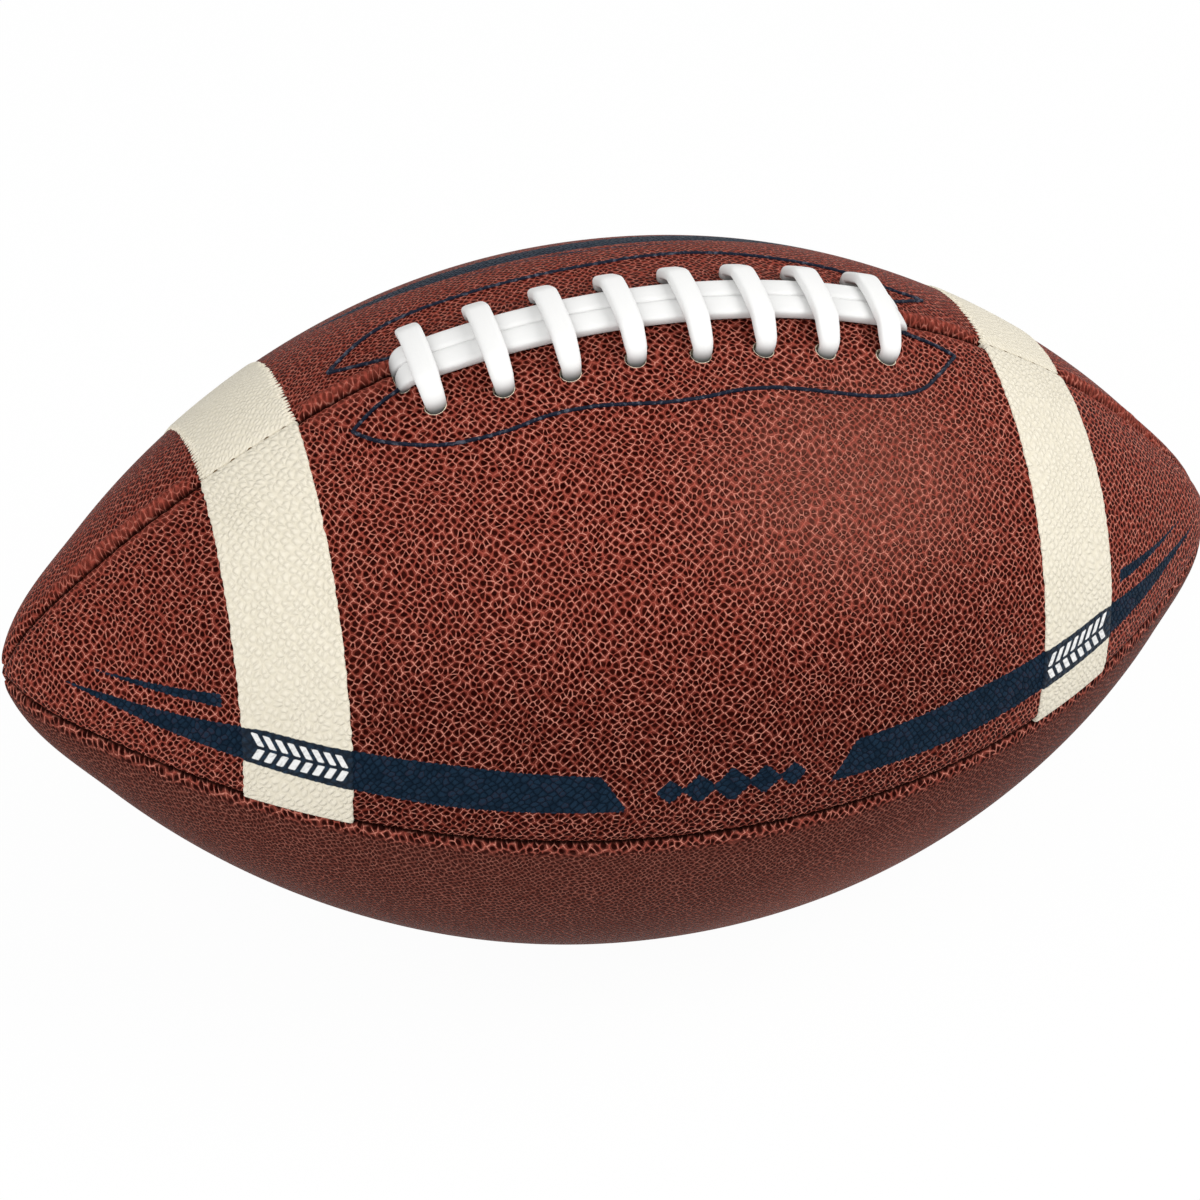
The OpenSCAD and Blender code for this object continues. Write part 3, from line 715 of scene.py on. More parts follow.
# How far each hole of the front panel was punched from its place: across, and all of them along.
PUNCHED_OFF = [-1.9, -0.4, 0.0, -0.4, 0.5, 0.0, 0.2, 0.2]
HOLE_OFF = 0.3 * MM
CUTTER_DEPTH, CUTTER_SIDES = 16 * MM, 40
# The dimple round a hole, and how far the pull of a seam stitch reaches.
DIMPLE_D, DIMPLE_REACH, PULL_REACH = 0.35 * MM, 1.6 * MM, 3.2 * MM
# The rolled edge beside the lacing seam: its middle and half width, then where it rises and
# falls past the end slots (start, rise, end, fall), in millimetres.
ROLL_S, ROLL_HALF = 2.4, 2.0
ROLL_RUNS = ((-1, 3, 22.4, 4), (45.5, 3, 80, 14))
# Its height and how much it shows, on the back panel and on the front one.
ROLL_HEIGHT, ROLL_SHOWN = {1: 1.0 * MM, -1: 0.3 * MM}, {1: 1, -1: 0.5}


def bunch(r):
    """How much of its full size the turned-in leather keeps near a nose."""
    return np.minimum(1, r / (14 * MM))


def outer_angles(skin, r):
    """Angles across a panel's outside, close together round its shoulders."""
    w = np.minimum(skin.ball.shoulder_w, HALF * r / 2)
    k = np.linspace(0, 90, SHOULDER_STEPS + 1)[None, :]
    side = HALF - w * (1 - np.cos(np.radians(k))) / r
    face = side[:, -1:] * np.linspace(1, -1, FACE_STEPS + 1)[None, 1:-1]
    return np.concatenate([side, face, -side[:, ::-1]], axis=1)


def crossing_x(lace, k):
    """Place of a crossing along the ball."""
    return lace.middle + lace.pitch * (k - (lace.crossings - 1) / 2)


def lace_ends(lace):
    """Places of the two end slots along the ball."""
    half = half_lacing(lace)
    return lace.middle - half, lace.middle + half + lace.right_more


def slot_size(lace):
    """Half the width of an end slot, and half the length of its straight part."""
    half_t = lace.thickness / 2 + lace.gap
    return half_t, lace.strand_gap / 2 + lace.squeezed_w + lace.gap - half_t


def hole_place(lace, k, side):
    """Distance of a hole from the seam. The front holes aren't quite in line."""
    return lace.hole_s + (PUNCHED_OFF[k % len(PUNCHED_OFF)] * MM if side == FRONT else 0)


def hole_distance(skin, x, s, laced):
    """Distance from the edge of the nearest lace hole or end slot."""
    lace, side = skin.lace, -laced
    s = s + laced * skin.wander(x, s)
    first = crossing_x(lace, 0)
    nearest = np.clip(np.rint((x - first) / lace.pitch), 0, lace.crossings - 1)
    row = np.array([hole_place(lace, k, side) for k in range(lace.crossings)])
    off = HOLE_OFF if side == FRONT else 0
    along = x - first - nearest * lace.pitch + off
    holes = np.hypot(along, s - row[nearest.astype(int)]) - lace.hole_r
    left, right = lace_ends(lace)
    half_t, straight = slot_size(lace)
    across = np.maximum(np.abs(s) - straight, 0)
    slots = np.hypot(np.minimum(np.abs(x - left), np.abs(x - right)), across) - half_t
    return np.minimum(holes, slots)


def pull(skin, x, distance, seed):
    """Depth that the seam thread pulls the leather in: once a stitch, no two quite alike."""
    along, pitch = skin.along(x), skin.ball.seam_pitch
    jitter = np.array([
        noise.noise(Vector((s / pitch * 0.9, seed, 0))) for s in along.ravel()
    ]).reshape(along.shape)
    wave = 0.5 + 0.5 * np.cos(2 * math.pi * along / pitch + 2.2 * jitter)
    wave = wave**2 * (0.75 + 0.5 * jitter)
    return skin.ball.pucker * wave * np.exp(-np.abs(distance) / PULL_REACH)


def roll_share(skin, x, s):
    """Where a laced panel's edge puffs up into a roll, past the ends of the lacing."""
    past = (np.abs(x - skin.lace.middle) - half_lacing(skin.lace)) / MM
    window = sum(
        clamp((past - start) / rise) * clamp((end - past) / fall)
        for start, rise, end, fall in ROLL_RUNS
    )
    return window * clamp(1 - ((s / MM - ROLL_S) / ROLL_HALF) ** 2)


def surface(skin, x, a, turn, laced):
    """Depth of a panel's outside with its bulge, groove, puckers and hole dimples."""
    r = skin.radius(x)
    distance = (HALF - np.abs(a)) * r
    depth = skin.bulge(r, a) + skin.groove(r, distance)
    # Both sides of one seam get the same seed.
    plus, minus = (
        pull(skin, x, distance, round(math.degrees(turn) + side) % 360) for side in (45, -45)
    )
    depth = depth + np.where(a > 0, plus, minus) * np.minimum(1, r / NARROW_R)
    if laced:
        toward = np.where(np.sign(a) == laced, distance, FAR)
        near = np.maximum(hole_distance(skin, x, toward, laced), 0)
        depth = depth + DIMPLE_D * np.exp(-near / DIMPLE_REACH) - skin.bed(x, toward)
        depth = depth - ROLL_HEIGHT[laced] * roll_share(skin, x, toward)
    return depth, distance


def panel_piece(skin, name, turn, laced):
    """One leather panel: outside, turned-in edges and inside."""
    ball, lace = skin.ball, skin.lace
    x = skin.stations(STATIONS)[:, None]
    r, n1 = skin.radius(x), skin.normal(x)[1]
    a = outer_angles(skin, r)
    depth, _ = surface(skin, x, a, turn, laced)
    rim = skin.bulge(r, HALF) + skin.groove(r, 0)
    is_laced = np.abs(x - lace.middle) < half_lacing(lace) + LACED_EDGE_PAST

    def inner_angle(deep):
        """Angle of the turned-in edge's inner face at a depth."""
        width = ball.allowance_t * bunch(r)
        return HALF - np.arcsin(np.clip(width / (r - n1 * deep), 0, 0.7))

    def allowance(side):
        full = np.where((side == laced) & is_laced, ball.laced_edge_d, ball.allowance_d)
        deep = rim + np.maximum(full - ball.groove_d, 0) * bunch(r)
        return deep, inner_angle(deep)

    (deep_p, inner_p), (deep_m, inner_m) = allowance(1), allowance(-1)
    lining = ball.leather_t * bunch(r)
    edge = inner_angle(lining + skin.bulge(r, HALF))
    inside_a = edge * np.linspace(-1, 1, INSIDE_STEPS + 1)[None, :]
    inside_d = skin.bulge(r, inside_a) + skin.groove(r, (HALF - np.abs(inside_a)) * r) + lining
    half = HALF + 0 * x
    angles = np.concatenate([a, -half, -inner_m, inside_a, inner_p, half, a[:, :1]], axis=1)
    depths = np.concatenate(
        [depth, deep_m, deep_m, inside_d, deep_p, deep_p, depth[:, :1]], axis=1
    )
    gap = (HALF - np.abs(angles)) * r
    across = angles * r + np.sign(angles) * np.maximum(depths - rim, 0)
    printed = raw = np.full(angles.shape, FAR)
    roll = 0 * angles
    if laced:
        towards = np.sign(angles) == laced
        place = np.where(towards, gap, FAR)
        printed = side_print(x, np.where(towards, FAR, gap))
        raw = hole_distance(skin, x, place, laced)
        roll = roll_share(skin, x, place) * ROLL_SHOWN[laced]
        if laced == 1:
            from_lacing = np.where(towards, gap, (HALF + np.abs(angles)) * r)
            top = nearest_shape([TOP_BAR, TOP_LINE], x, from_lacing)
            printed = np.minimum(printed, top)
    printed = np.where(depths > rim + 0.2 * MM, FAR, printed)
    maps = {
        "leather": np.stack([skin.along(x) + 0 * angles, across], axis=-1),
        "marks": np.stack([printed, raw], axis=-1),
        "edges": np.stack([gap, roll], axis=-1),
    }
    return wrapped_sheet(name, skin.place(x, angles, depths, turn), maps)


def hole_cutter(skin, side):
    """Round holes and the two end slots, square to the skin."""
    lace, bm = skin.lace, bmesh.new()

    def pin(radius, matrix):
        return bmesh.ops.create_cone(
            bm, cap_ends=True, segments=CUTTER_SIDES, radius1=radius, radius2=radius,
            depth=CUTTER_DEPTH, matrix=matrix,
        )["verts"]

    def stand(x, s):
        n0, n1 = skin.normal(x)
        return (
            Matrix.Translation(skin.on_lacing(x, s, 0))
            @ Matrix.Rotation(s / skin.radius(x), 4, "X")
            @ Matrix.Rotation(math.atan2(n0, n1), 4, "Y")
        )

    off = HOLE_OFF if side == FRONT else 0
    for k in range(lace.crossings):
        pin(lace.hole_r, stand(crossing_x(lace, k) - off, side * hole_place(lace, k, side)))
    half_t, straight = slot_size(lace)
    for end in lace_ends(lace):
        made = pin(half_t, Matrix.Rotation(math.pi / CUTTER_SIDES, 4, "Z"))
        for half in (-1, 1):
            verts = [v for v in made if v.co.y * half > 0]
            bmesh.ops.translate(bm, verts=verts, vec=(0, half * straight, 0))
        bmesh.ops.transform(bm, verts=made, matrix=stand(end, 0))
    bmesh.ops.triangulate(bm, faces=bm.faces)
    return new_piece("lace_hole_cutter", bm)


# Each panel's turn about the long axis, and the side of its lacing seam, if it has one.
PANELS = {
    "panel_lace_front": (45, -1),
    "panel_lace_back": (-45, 1),
    "panel_base_front": (135, 0),
    "panel_base_back": (-135, 0),
}


class FOOTBALL_OT_panels(bpy.types.Operator):
    """Make the four pebbled leather panels with their turned-in edges and lace holes"""

    bl_idname = "football.panels"
    bl_label = "Leather panels"

    def execute(self, context):
        settings = context.scene.football
        skin, colours = Skin(settings), settings.colours
        top, low = colours.pebble, colours.valley
        leathers = {
            -1: leather_finish(colours, "pebbled_leather", top, low, 1.0, 700.0),
            1: leather_finish(colours, "fine_pebbled_leather", top, low, 0.9, 780.0),
            # Painted shade: the base panels get a darker copy of the same leather, with finer,
            # softer pebbles.
            0: leather_finish(
                colours, "smooth_leather", colours.base, colours.base_valley, 0.62, 900.0
            ),
        }
        for node, (degrees, laced) in PANELS.items():
            piece = panel_piece(skin, node + "_leather", math.radians(degrees), laced)
            if laced:
                cut(piece, hole_cutter(skin, -laced))
            smooth(piece, 55)
            finish(piece, leathers[laced], "leather", node)
        return {"FINISHED"}


# A stripe's grid, and the shares of its width near its edges where the grid is closer.
STRIPE_ROWS, STRIPE_COLUMNS = 56, 480
EDGE_ROWS = ([0, 0.004, 0.012, 0.028], [0.972, 0.988, 0.996, 1])
# How much of the seam's groove a stripe shows, and the width of a front stripe's sloping edge.
STRIPE_GROOVE, PLAIN_SLOPE = 0.32, 0.5 * MM
# Lengths of the waves in the edges and in the teeth, and how far from the seam the teeth reach.
EDGE_WAVE, TOOTH_WAVE, TOOTH_REACH = 1.6 * MM, 3 * MM, 52 * MM
# How deep a stripe sits in the leather: its back, and its top at the very edge.
STRIPE_BACK, STRIPE_LOW = 0.03 * MM, 0.02 * MM


def stripe_piece(skin, stripe, name, turn, laced, end):
    """One stripe, sewn close on a lace panel, with an edge that follows the pebbles."""
    inner = skin.ball.half_len - stripe.from_nose - stripe.width
    v = np.linspace(-1, 1, STRIPE_COLUMNS + 1)[None, :]
    middle_r = skin.radius(inner + stripe.width / 2)
    place = (v * HALF * middle_r).ravel()

    def wave(pitch, *seeds):
        return np.array([noise.noise(Vector((p / pitch, *seeds))) for p in place])

    def wander(seed):
        return (wave(EDGE_WAVE, seed, turn) * stripe.ragged * 2)[None, :]

    def teeth(seed):
        """Teeth along the edges of a back stripe, longest at the lacing seam."""
        if laced != 1:
            return 0
        drift = wave(TOOTH_WAVE, seed, 2)
        zigzag = np.abs((place / stripe.tooth_pitch + 0.5 * drift) % 1 - 0.5) * 2
        near = clamp(1.2 - np.abs(HALF - v.ravel() * HALF) * middle_r / TOOTH_REACH)
        blunt = clamp(1.7 * zigzag - 0.35)
        return (blunt * (0.7 + 0.6 * drift) * near * stripe.teeth)[None, :]

    low = inner + wander(3.1 + end) + teeth(5.3)
    high = inner + stripe.width + wander(7.7 + end) - teeth(9.1)
    between = np.linspace(0.05, 0.95, STRIPE_ROWS - 7)
    t = np.concatenate([EDGE_ROWS[0], between, EDGE_ROWS[1]])[:, None]
    x = (low + (high - low) * t) * end
    r = skin.radius(x)
    a = (HALF - 0.12 * MM / r) * (np.sign(v) * (1 - (1 - np.abs(v)) ** 1.15))
    under, distance = surface(skin, x, a, turn, 0)
    flat = skin.bulge(r, a) + skin.groove(r, distance, STRIPE_GROOVE)
    into = np.minimum(t, 1 - t) * stripe.width
    slope = stripe.teeth if laced == 1 else PLAIN_SLOPE
    thick = stripe.thickness * np.sqrt(clamp(1 - (1 - clamp(into / slope)) ** 2))
    base = under - STRIPE_BACK
    top = np.minimum(np.minimum(flat, under) - thick - STRIPE_LOW, base)

    def wrapped(over, below):
        return np.concatenate([over, below[:, ::-1], over[:, :1]], axis=1)

    angles, depths, xs = wrapped(a, a), wrapped(top, base), wrapped(x, x)
    radius = skin.radius(xs)
    w = np.where(np.sign(angles) == laced, FAR, (HALF - np.abs(angles)) * radius)
    maps = {
        "leather": np.stack([skin.along(xs), angles * radius], axis=-1),
        "marks": np.stack([side_print(xs, w), ticks(xs, w)], axis=-1),
    }
    return wrapped_sheet(name, skin.place(xs, angles, depths, turn), maps)


class FOOTBALL_OT_stripes(bpy.types.Operator):
    """Make the four cream stripes of the lace panels"""

    bl_idname = "football.stripes"
    bl_label = "Stripes"

    def execute(self, context):
        settings = context.scene.football
        skin = Skin(settings)
        cream = {
            "front": stripe_finish(settings.colours, "cream_stripe", 580.0, 0.0003),
            "back": stripe_finish(settings.colours, "fine_cream_stripe", 760.0, 0.0002),
        }
        for side, material in cream.items():
            degrees, laced = PANELS["panel_lace_" + side]
            for hand, end in (("left", -1), ("right", 1)):
                node, turn = f"stripe_{side}_{hand}", math.radians(degrees)
                piece = stripe_piece(skin, settings.stripe, node + "_band", turn, laced, end)
                smooth(piece, 60)
                finish(piece, material, "stripe", node)
        return {"FINISHED"}


ALONG_X, ALONG_S, ALONG_H = Vector((1, 0, 0)), Vector((0, 1, 0)), Vector((0, 0, 1))
BEND_STEPS, LACE_SIDES, LACE_STEP = 8, 28, 1.2 * MM
# The layers that the lace passes on its way in, and the space between them.
LINING_T, FACING_T, LAYER_GAP = 1.4 * MM, 1.2 * MM, 0.25 * MM


class LaceRoute:
    """The one lace's way through its holes, in lacing coordinates.

    A corner is its place, the radius of the bend there and the direction of the lace's width.
    """

    def __init__(self, ball, lace):
        self.lace = lace
        facet_sag = ball.belly_r * (1 - math.cos(HALF / 8))
        facing_d = ball.leather_t + LAYER_GAP + facet_sag / 2 + LINING_T + LAYER_GAP
        self.strand_s = (lace.strand_w + lace.strand_gap) / 2
        self.strand_h = lace.seat + lace.thickness / 2
        self.over_h = self.strand_h + lace.thickness + lace.gap
        self.inside_h = -(facing_d + FACING_T + lace.seat + lace.squeezed_w / 2)
        self.tight = lace.thickness * 0.95
        self.easy = lace.width * 0.8

    def leg(self, k, side):
        """Up through a hole and over to the crossing."""
        lace = self.lace
        x, s = crossing_x(lace, k), side * hole_place(lace, k, side)
        turn = self.tight if side == FRONT else self.tight * 0.6
        near = side * (self.strand_s + lace.width * 0.85)
        return [
            (Vector((x, s, self.inside_h)), self.tight, ALONG_X),
            (Vector((x, s, lace.thickness * 0.6)), turn, ALONG_X),
            (Vector((x, near, self.over_h)), self.easy, ALONG_X),
        ]

    def crossing(self, k, side):
        """Up on one side of the seam, over the strands and down on the other."""
        down = self.leg(k, -side)[::-1]
        return self.leg(k, side) + down[:2] + [(down[2][0], self.tight, ALONG_H)]

    def strand(self, s):
        """Up through the left end slot, along the seam and down through the right one."""
        left, right = lace_ends(self.lace)
        over = s - self.lace.strand_shift
        spots = ((left, s, self.inside_h), (left, over, self.strand_h),
                 (right, over, self.strand_h), (right, s, self.inside_h))
        return [(Vector(spot), self.tight, ALONG_S) for spot in spots]

    def corners(self):
        """All corners: first strand, the crossings from right to left, second strand."""
        lace = self.lace
        s, h, tail = self.strand_s, self.inside_h, half_lacing(lace) + lace.tail
        found = [(Vector((lace.middle - tail, s, h)), 0, ALONG_S)] + self.strand(s)
        for k in range(lace.crossings - 1, -1, -1):
            found += self.crossing(k, FRONT if (lace.crossings - 1 - k) % 2 == 0 else BACK)
        found.append((Vector((crossing_x(lace, 0), -s, h)), self.tight, ALONG_S))
        return found + self.strand(-s) + [(Vector((lace.middle + tail, -s, h)), 0, ALONG_S)]

    def rings(self):
        """Rings of (place, direction, width direction) along the whole lace."""
        corners = self.corners()
        width = corners[0][2]
        rings = [(corners[0][0], (corners[1][0] - corners[0][0]).normalized(), width)]
        for before, here, after in zip(corners, corners[1:], corners[2:]):
            bend = self.bend(before[0], here, after[0], width)
            width = bend[-1][2]
            rings += self.between(rings[-1], bend[0]) + bend
        last = (corners[-1][0], (corners[-1][0] - corners[-2][0]).normalized(), width)
        return rings + self.between(rings[-1], last) + [last]

    def between(self, start, end):
        """Rings along a straight stretch."""
        number = int((end[0] - start[0]).length / LACE_STEP)
        return [
            (start[0].lerp(end[0], k / (number + 1)), start[1], start[2])
            for k in range(1, number + 1)
        ]

    def bend(self, before, corner, after, width):
        """Rings round one corner, on which the width turns to the wanted direction."""
        place, radius, wanted = corner
        u = (place - before).normalized()
        v = (after - place).normalized()
        turn = math.acos(max(min(u.dot(v), 1), -1))
        m = (v - u * v.dot(u)).normalized()
        side = u.cross(m)
        start = place - u * radius * math.tan(turn / 2)
        in_plane, off_plane = width.dot(m), width.dot(side)

        def carried(a):
            return (m * math.cos(a) - u * math.sin(a)) * in_plane + side * off_plane

        wanted = wanted - v * wanted.dot(v)
        aligned = -wanted if carried(turn).dot(wanted) < 0 else wanted
        rings = []
        for k in range(BEND_STEPS + 1):
            f = k / BEND_STEPS
            a = turn * f
            direction = u * math.cos(a) + m * math.sin(a)
            blended = carried(a).lerp(aligned, f)
            blended = (blended - direction * blended.dot(direction)).normalized()
            spot = start + u * radius * math.sin(a) + m * radius * (1 - math.cos(a))
            rings.append((spot, direction, blended))
        return rings


def lace_piece(skin, name):
    """The lace as one swept tube with a rounded flat section."""
    lace = skin.lace
    rings = LaceRoute(skin.ball, lace).rings()
    points = np.empty((len(rings), LACE_SIDES + 1, 3))
    strip, marks = np.empty((2, len(rings), LACE_SIDES + 1, 2))
    travelled = 0.0
    for i, (place, direction, width) in enumerate(rings):
        if i:
            travelled += (place - rings[i - 1][0]).length
        is_strand = abs(width.y) > 0.7 and place.z > 0
        # The lace is squeezed in a hole. Towards the front holes it narrows and gets blunter.
        sunk = clamp((lace.thickness * 0.55 - place.z) / lace.thickness)
        reach = clamp((place.y - 5 * MM) / (8.5 * MM))
        full = lace.strand_w if is_strand else lace.width
        dip = max(0.0, abs(direction.z) - 0.25) if place.y > 0 and not is_strand else 0.0
        w = full + (lace.squeezed_w - full) * max(sunk, 0.75 * reach * reach)
        w *= 1 - 0.12 * dip
        t = lace.thickness + (lace.squeezed_t - lace.thickness) * sunk
        w += 0.1 * MM * noise.noise(Vector((travelled / (6 * MM), 4.2, 0)))
        blunt = 0.42 + 0.55 * max(reach * reach, min(1.0, 1.4 * dip))
        thick = direction.cross(width)
        for j in range(LACE_SIDES + 1):
            angle = 2 * math.pi * (j % LACE_SIDES) / LACE_SIDES
            c, s = math.cos(angle), math.sin(angle)
            across = math.copysign(abs(c) ** blunt, c) * w / 2
            up = math.copysign(abs(s) ** max(blunt, 0.6), s) * t / 2
            points[i, j] = skin.on_lacing(*(place + width * across + thick * up))
            strip[i, j] = travelled, (j / LACE_SIDES) * 2 * (w + t)
            # The height over the skin, which the lace's painted shade at the holes follows.
            marks[i, j] = place.z, 0
    return wrapped_sheet(name, points, {"strip": strip, "marks": marks})


class FOOTBALL_OT_lace(bpy.types.Operator):
    """Thread the one white lace through its holes"""

    bl_idname = "football.lace"
    bl_label = "Lace"

    def execute(self, context):
        settings = context.scene.football
        piece = lace_piece(Skin(settings), "white_lace_cord")
        smooth(piece, 70)
        finish(piece, lace_finish(settings.colours), "lace", "lace")
        return {"FINISHED"}


# The stitching round the lacing in millimetres, along the ball and from the seam, with the
# places in each list where the line turns sharply.
BEDS = {
    "bed_stitches_front": ([
        (-56.5, 3.2), (-63.3, 5.4), (-69.3, 9.2), (-64.5, 14.8), (-53, 21.6), (-40.6, 23.6),
        (-29.4, 22.8), (-18.7, 23.4), (-6.3, 25.2), (2.8, 25.4), (12.3, 24.2), (21.8, 24),
        (32.9, 25), (44.5, 25.2), (55.5, 22), (62.3, 16), (68.7, 8.9), (63.1, 6.2), (56.1, 4.6),
    ], (2, 16)),
    "bed_stitches_back": ([
        (-55.5, -6.6), (-60.5, -8.6), (-69.9, -11.9), (-61, -19), (-51.5, -22.5),
        (-35.8, -23.5), (-20.3, -23.8), (-6.1, -24.5), (4.4, -25.6), (17.9, -26),
        (33.2, -23.8), (49.9, -19.8), (58.6, -15), (68.3, -12), (61, -8.4), (55, -6),
    ], (2, 13)),
}
LINE_STEPS = 24
# How far the ends of a stitch dip into the leather: round the lacing, and in the seam.
BED_SAG, SEAM_SAG = 0.18 * MM, 0.1 * MM
SEAM_STITCH, SEAM_STITCH_H = 1.2 * MM, -0.2 * MM


def drawn_line(corners):
    """Closely spaced points of a smooth line through corners."""
    points = [Vector((x * MM, s * MM)) for x, s in corners]
    points = [points[0] * 2 - points[1], *points, points[-1] * 2 - points[-2]]
    dense = []
    for p0, p1, p2, p3 in zip(points, points[1:], points[2:], points[3:]):
        for k in range(LINE_STEPS):
            t = k / LINE_STEPS
            dense.append(0.5 * (
                2 * p1 + (p2 - p0) * t + (2 * p0 - 5 * p1 + 4 * p2 - p3) * t * t
                + (3 * p1 - p0 - 3 * p2 + p3) * t**3
            ))
    return dense + [points[-2]]


def stitch_mesh(bm, skin, start, end, thickness, sag):
    """One stitch between two lacing places: a capsule whose ends dip into the leather."""
    a, b = skin.on_lacing(*start), skin.on_lacing(*end)
    up = (a - Vector((a.x, 0, skin.ball.centre_z))).normalized()
    span = b - a
    made = bmesh.ops.create_uvsphere(bm, u_segments=8, v_segments=6, radius=thickness / 2)["verts"]
    half = span.length / 2 - thickness * 0.32
    for v in made:
        share_along = max(-1.0, min(1.0, v.co.z / (thickness / 2)))
        v.co.z += math.copysign(half, v.co.z) if abs(v.co.z) > 1e-9 else 0
        v.co.x -= sag * abs(share_along) ** 2
    direction = span.normalized()
    across = up.cross(direction).normalized()
    normal = direction.cross(across).normalized()
    turn = Matrix((normal, across, direction)).transposed().to_4x4()
    bmesh.ops.transform(bm, verts=made, matrix=Matrix.Translation((a + b) / 2) @ turn)
    layer = bm.loops.layers.uv["strip"]
    for face in {f for v in made for f in v.link_faces}:
        face.smooth = True
        for loop in face.loops:
            loop[layer].uv = ((loop.vert.co - a).dot(direction) / thickness, 0)


def stitched_line(bm, skin, line, stitches):
    """Navy stitches end to end along a line on the skin."""
    thickness = stitches.thread
    steps = [(here - before).length for before, here in zip(line, line[1:])]
    along = np.concatenate([[0], np.cumsum(steps)])
    number = max(2, round(along[-1] / stitches.stitch))
    marks = [line[np.argmin(np.abs(along - along[-1] * k / number))] for k in range(number + 1)]
    for k, ends in enumerate(zip(marks, marks[1:])):
        shift = 0.12 * MM * noise.noise(Vector((k * 1.7, 0.3, 0)))
        start, end = ((spot.x, spot.y + shift, thickness * 0.2) for spot in ends)
        stitch_mesh(bm, skin, start, end, thickness, BED_SAG)


class FOOTBALL_OT_bed_stitching(bpy.types.Operator):
    """Sew the navy stitching round the lacing"""

    bl_idname = "football.bed_stitching"
    bl_label = "Lacing stitches"

    def execute(self, context):
        settings = context.scene.football
        skin, colours = Skin(settings), settings.colours
        material = thread_finish("navy_thread", colours.thread, colours.fleck)
        for name, (corners, sharp) in BEDS.items():
            bm = bmesh.new()
            bm.loops.layers.uv.new("strip")
            turns = (0, *sharp, len(corners) - 1)
            for start, end in zip(turns, turns[1:]):
                line = drawn_line(corners[start : end + 1])
                stitched_line(bm, skin, line, settings.stitch)
            finish(new_piece(name, bm), material, "lace")
        return {"FINISHED"}


class FOOTBALL_OT_seam_stitches(bpy.types.Operator):
    """Show the tan seam thread between the stripes"""

    bl_idname = "football.seam_stitches"
    bl_label = "Seam stitches"

    def execute(self, context):
        settings = context.scene.football
        skin, stripe, colours = Skin(settings), settings.stripe, settings.colours
        inner = skin.ball.half_len - stripe.from_nose - stripe.width
        bm = bmesh.new()
        bm.loops.layers.uv.new("strip")
        for end in (-1, 1):
            x = inner + 2 * MM
            while x < inner + stripe.width - 1 * MM:
                s = -skin.wander(end * x, 0)
                first = end * x, s - 0.5 * MM, SEAM_STITCH_H
                last = end * (x + SEAM_STITCH), s + 0.4 * MM, SEAM_STITCH_H
                stitch_mesh(bm, skin, first, last, settings.stitch.seam_thread, SEAM_SAG)
                x += skin.ball.seam_pitch * 0.88
        material = thread_finish("tan_thread", colours.tan, colours.cream)
        finish(new_piece("stripe_seam_stitches", bm), material, "stripe")
        return {"FINISHED"}


def dress(nodes, material):
    """Gives CAD nodes, which keep their own solids, a material."""
    for name in nodes:
        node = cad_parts[name]
        node.data.materials.clear()
        node.data.materials.append(material)


class FOOTBALL_OT_linings(bpy.types.Operator):
    """Dress the fabric linings, the lace facings and the tongue"""

    bl_idname = "football.linings"
    bl_label = "Linings and facings"

    def execute(self, context):
        colours = context.scene.football.colours
        cloth = fabric_finish("lining_cloth", colours.lining, colours.facing, 0.9 * MM)
        dress([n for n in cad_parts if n.startswith("lining_")], cloth)
        twill = fabric_finish("facing_twill", colours.facing, colours.rubber, 0.7 * MM)
        dress(["lace_facing_front", "lace_facing_back", "lace_tongue"], twill)
        return {"FINISHED"}


class FOOTBALL_OT_bladder(bpy.types.Operator):
    """Dress the rubber bladder, its patch and the valve"""

    bl_idname = "football.bladder"
    bl_label = "Bladder and valve"

    def execute(self, context):
        colours = context.scene.football.colours
        for name, light, gloss, nodes in (
            ("bladder_rubber", colours.lining, 0.45, ["bladder"]),
            ("patch_rubber", colours.facing, 0.6, ["valve_patch"]),
            ("valve_rubber", colours.facing, 0.38, ["valve_housing", "valve_core"]),
        ):
            dress(nodes, rubber_finish(name, colours.rubber, light, gloss))
        return {"FINISHED"}


# The light of the surroundings on the ball, and where they are seen.
SKY_LIGHT, SKY_SEEN = 0.46, 0.54
# How much of the floor's brightness is its own where it is seen, so that the shadow stays faint.
FLOOR_GLOW, FLOOR_SIZE = 0.965, 12
# Name, place, size and power.
LAMPS = (
    ("key_lamp", (0.85, -0.32, 1.05), 0.8, 12.7),
    ("fill_lamp", (-1.0, -0.7, 1.1), 1.4, 18.5),
)
CAMERA_FORWARD, CAMERA_UP = (0.2585, 0.697, -0.669), (0.1291, 0.6614, 0.7389)
CAMERA_DISTANCE = 0.9076
CAMERA_LENS = {
    "lens": 117.48, "sensor_width": 36, "shift_x": -0.02099, "shift_y": -0.009615,
    "clip_start": 0.05, "clip_end": 50,
}


def seen_directly(look):
    """One for camera, glossy and transmission rays, else zero."""
    camera, glossy, transmitted = (look.add("ShaderNodeLightPath", output=k) for k in (0, 3, 6))
    seen = camera + glossy + transmitted
    return seen.math("MINIMUM", seen, 1.0)


def floor_finish():
    """A plain white floor that keeps the ball's shadow."""
    look = Finish("white_floor")
    look.feed({"Base Color": (0.8, 0.8, 0.8, 1), "Roughness": 0.9, "Specular IOR Level": 0.0})
    glow = look.add("ShaderNodeEmission", {"Color": (1, 1, 1, 1), "Strength": 1.0})
    plain = Signal(look, look.shader.outputs[0])
    seen = seen_directly(look) * FLOOR_GLOW
    mixed = look.add("ShaderNodeMixShader", {0: seen, 1: plain, 2: glow})
    look.connect(mixed, look.tree.nodes["Material Output"].inputs["Surface"])
    return look.material


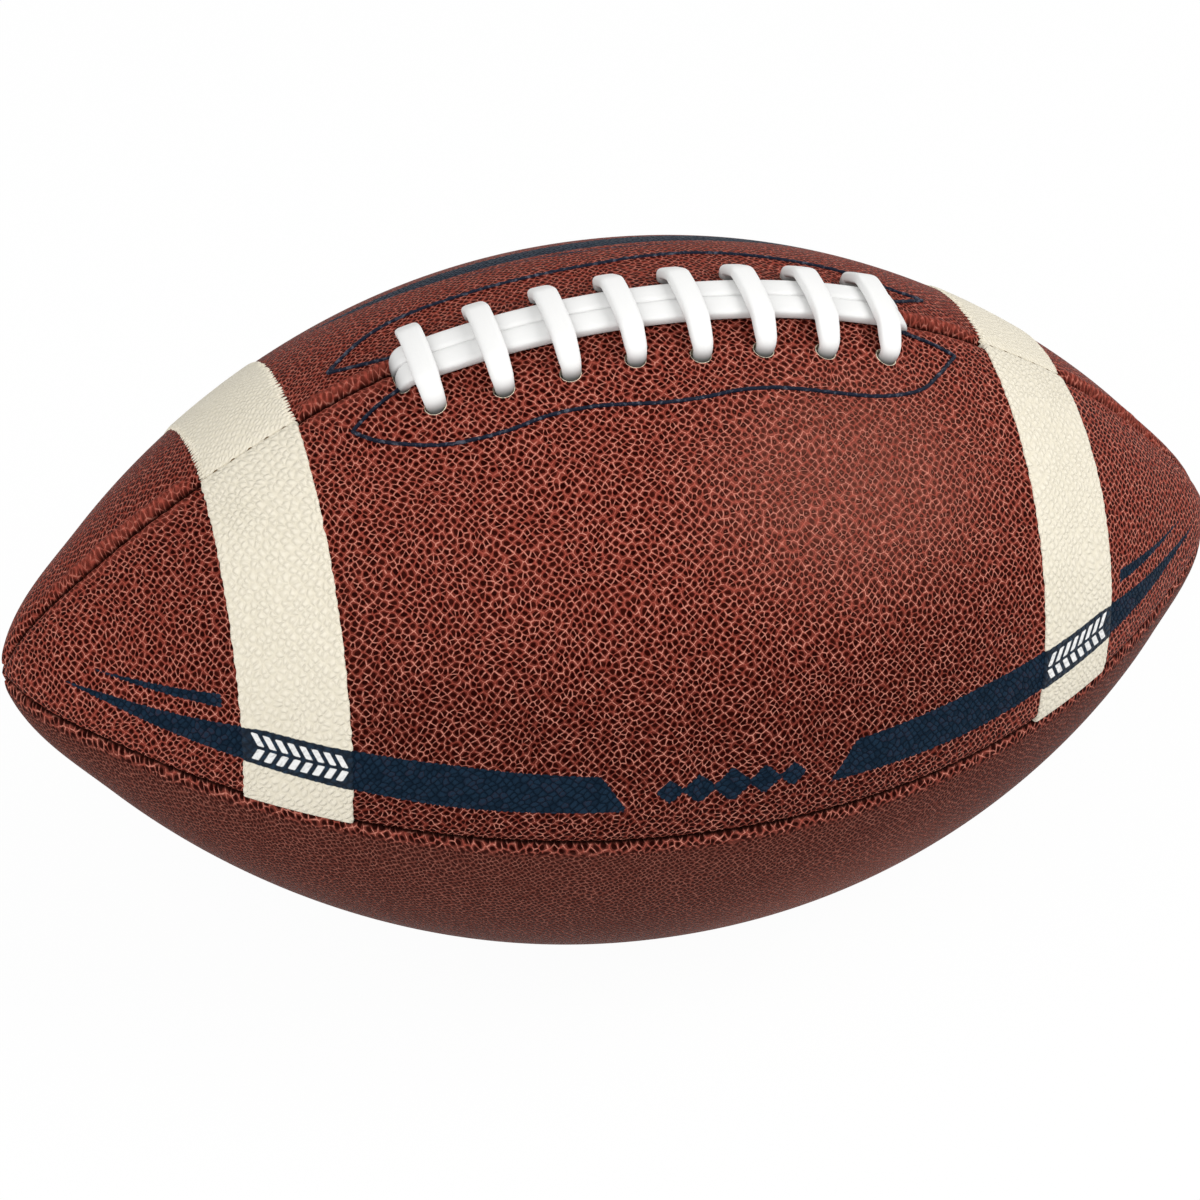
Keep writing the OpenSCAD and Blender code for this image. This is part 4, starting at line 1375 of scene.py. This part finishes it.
def area_lamp(name, place, target, size, power):
    """A soft lamp that points at a target."""
    data = bpy.data.lights.new(name, "AREA")
    data.shape = "SQUARE"
    data.size = size
    data.energy = power
    lamp = bpy.data.objects.new(name, data)
    lamp.location = place
    lamp.rotation_euler = (target - Vector(place)).to_track_quat("-Z", "Y").to_euler()
    bpy.context.scene.collection.objects.link(lamp)


class FOOTBALL_OT_stage(bpy.types.Operator):
    """Set up the floor, the light and the camera"""

    bl_idname = "football.stage"
    bl_label = "Stage"

    def execute(self, context):
        scene = context.scene
        scene.view_settings.view_transform = "Standard"
        centre = Vector((0, 0, scene.football.ball.centre_z))

        bm = bmesh.new()
        bmesh.ops.create_grid(bm, x_segments=1, y_segments=1, size=FLOOR_SIZE)
        floor = new_piece("floor", bm)
        floor.data.materials.append(floor_finish())

        sky = Finish("studio", world=True)
        scene.world = sky.material
        sky.feed({"Color": (1, 1, 1, 1), "Strength": SKY_LIGHT + SKY_SEEN * seen_directly(sky)})
        for name, place, size, power in LAMPS:
            area_lamp(name, place, centre, size, power)

        forward, up = Vector(CAMERA_FORWARD).normalized(), Vector(CAMERA_UP)
        up = (up - forward * up.dot(forward)).normalized()
        data = bpy.data.cameras.new("camera")
        for key, value in CAMERA_LENS.items():
            setattr(data, key, value)
        camera = bpy.data.objects.new("camera", data)
        turn = Matrix((forward.cross(up), up, -forward)).transposed().to_4x4()
        camera.matrix_world = Matrix.Translation(centre - forward * CAMERA_DISTANCE) @ turn
        scene.collection.objects.link(camera)
        scene.camera = camera
        return {"FINISHED"}


class FOOTBALL_PT_panel(bpy.types.Panel):
    """Lists the football's sizes, colours and pieces"""

    bl_idname = "FOOTBALL_PT_panel"
    bl_label = "Football"
    bl_space_type = "VIEW_3D"
    bl_region_type = "UI"
    bl_category = "Football"

    def draw(self, context):
        settings = context.scene.football
        for name in settings.__annotations__:
            group, box = getattr(settings, name), self.layout.box()
            for key in group.__annotations__:
                box.prop(group, key)
        for operator in OPERATORS:
            self.layout.operator(operator.bl_idname)


OPERATORS = (
    FOOTBALL_OT_stage,
    FOOTBALL_OT_panels,
    FOOTBALL_OT_stripes,
    FOOTBALL_OT_lace,
    FOOTBALL_OT_bed_stitching,
    FOOTBALL_OT_seam_stitches,
    FOOTBALL_OT_linings,
    FOOTBALL_OT_bladder,
)
GROUPS = (BallSizes, StripeSizes, LaceSizes, StitchSizes, Colours, Football)
CLASSES = (*GROUPS, *OPERATORS, FOOTBALL_PT_panel)


def register():
    for kind in CLASSES:
        bpy.utils.register_class(kind)
    bpy.types.Scene.football = bpy.props.PointerProperty(type=Football)


def unregister():
    del bpy.types.Scene.football
    for kind in reversed(CLASSES):
        bpy.utils.unregister_class(kind)


def main():
    register()
    bpy.ops.football.stage()
    bpy.ops.football.panels()
    bpy.ops.football.stripes()
    bpy.ops.football.lace()
    bpy.ops.football.bed_stitching()
    bpy.ops.football.seam_stitches()
    bpy.ops.football.linings()
    bpy.ops.football.bladder()


if __name__ == "__main__":
    main()
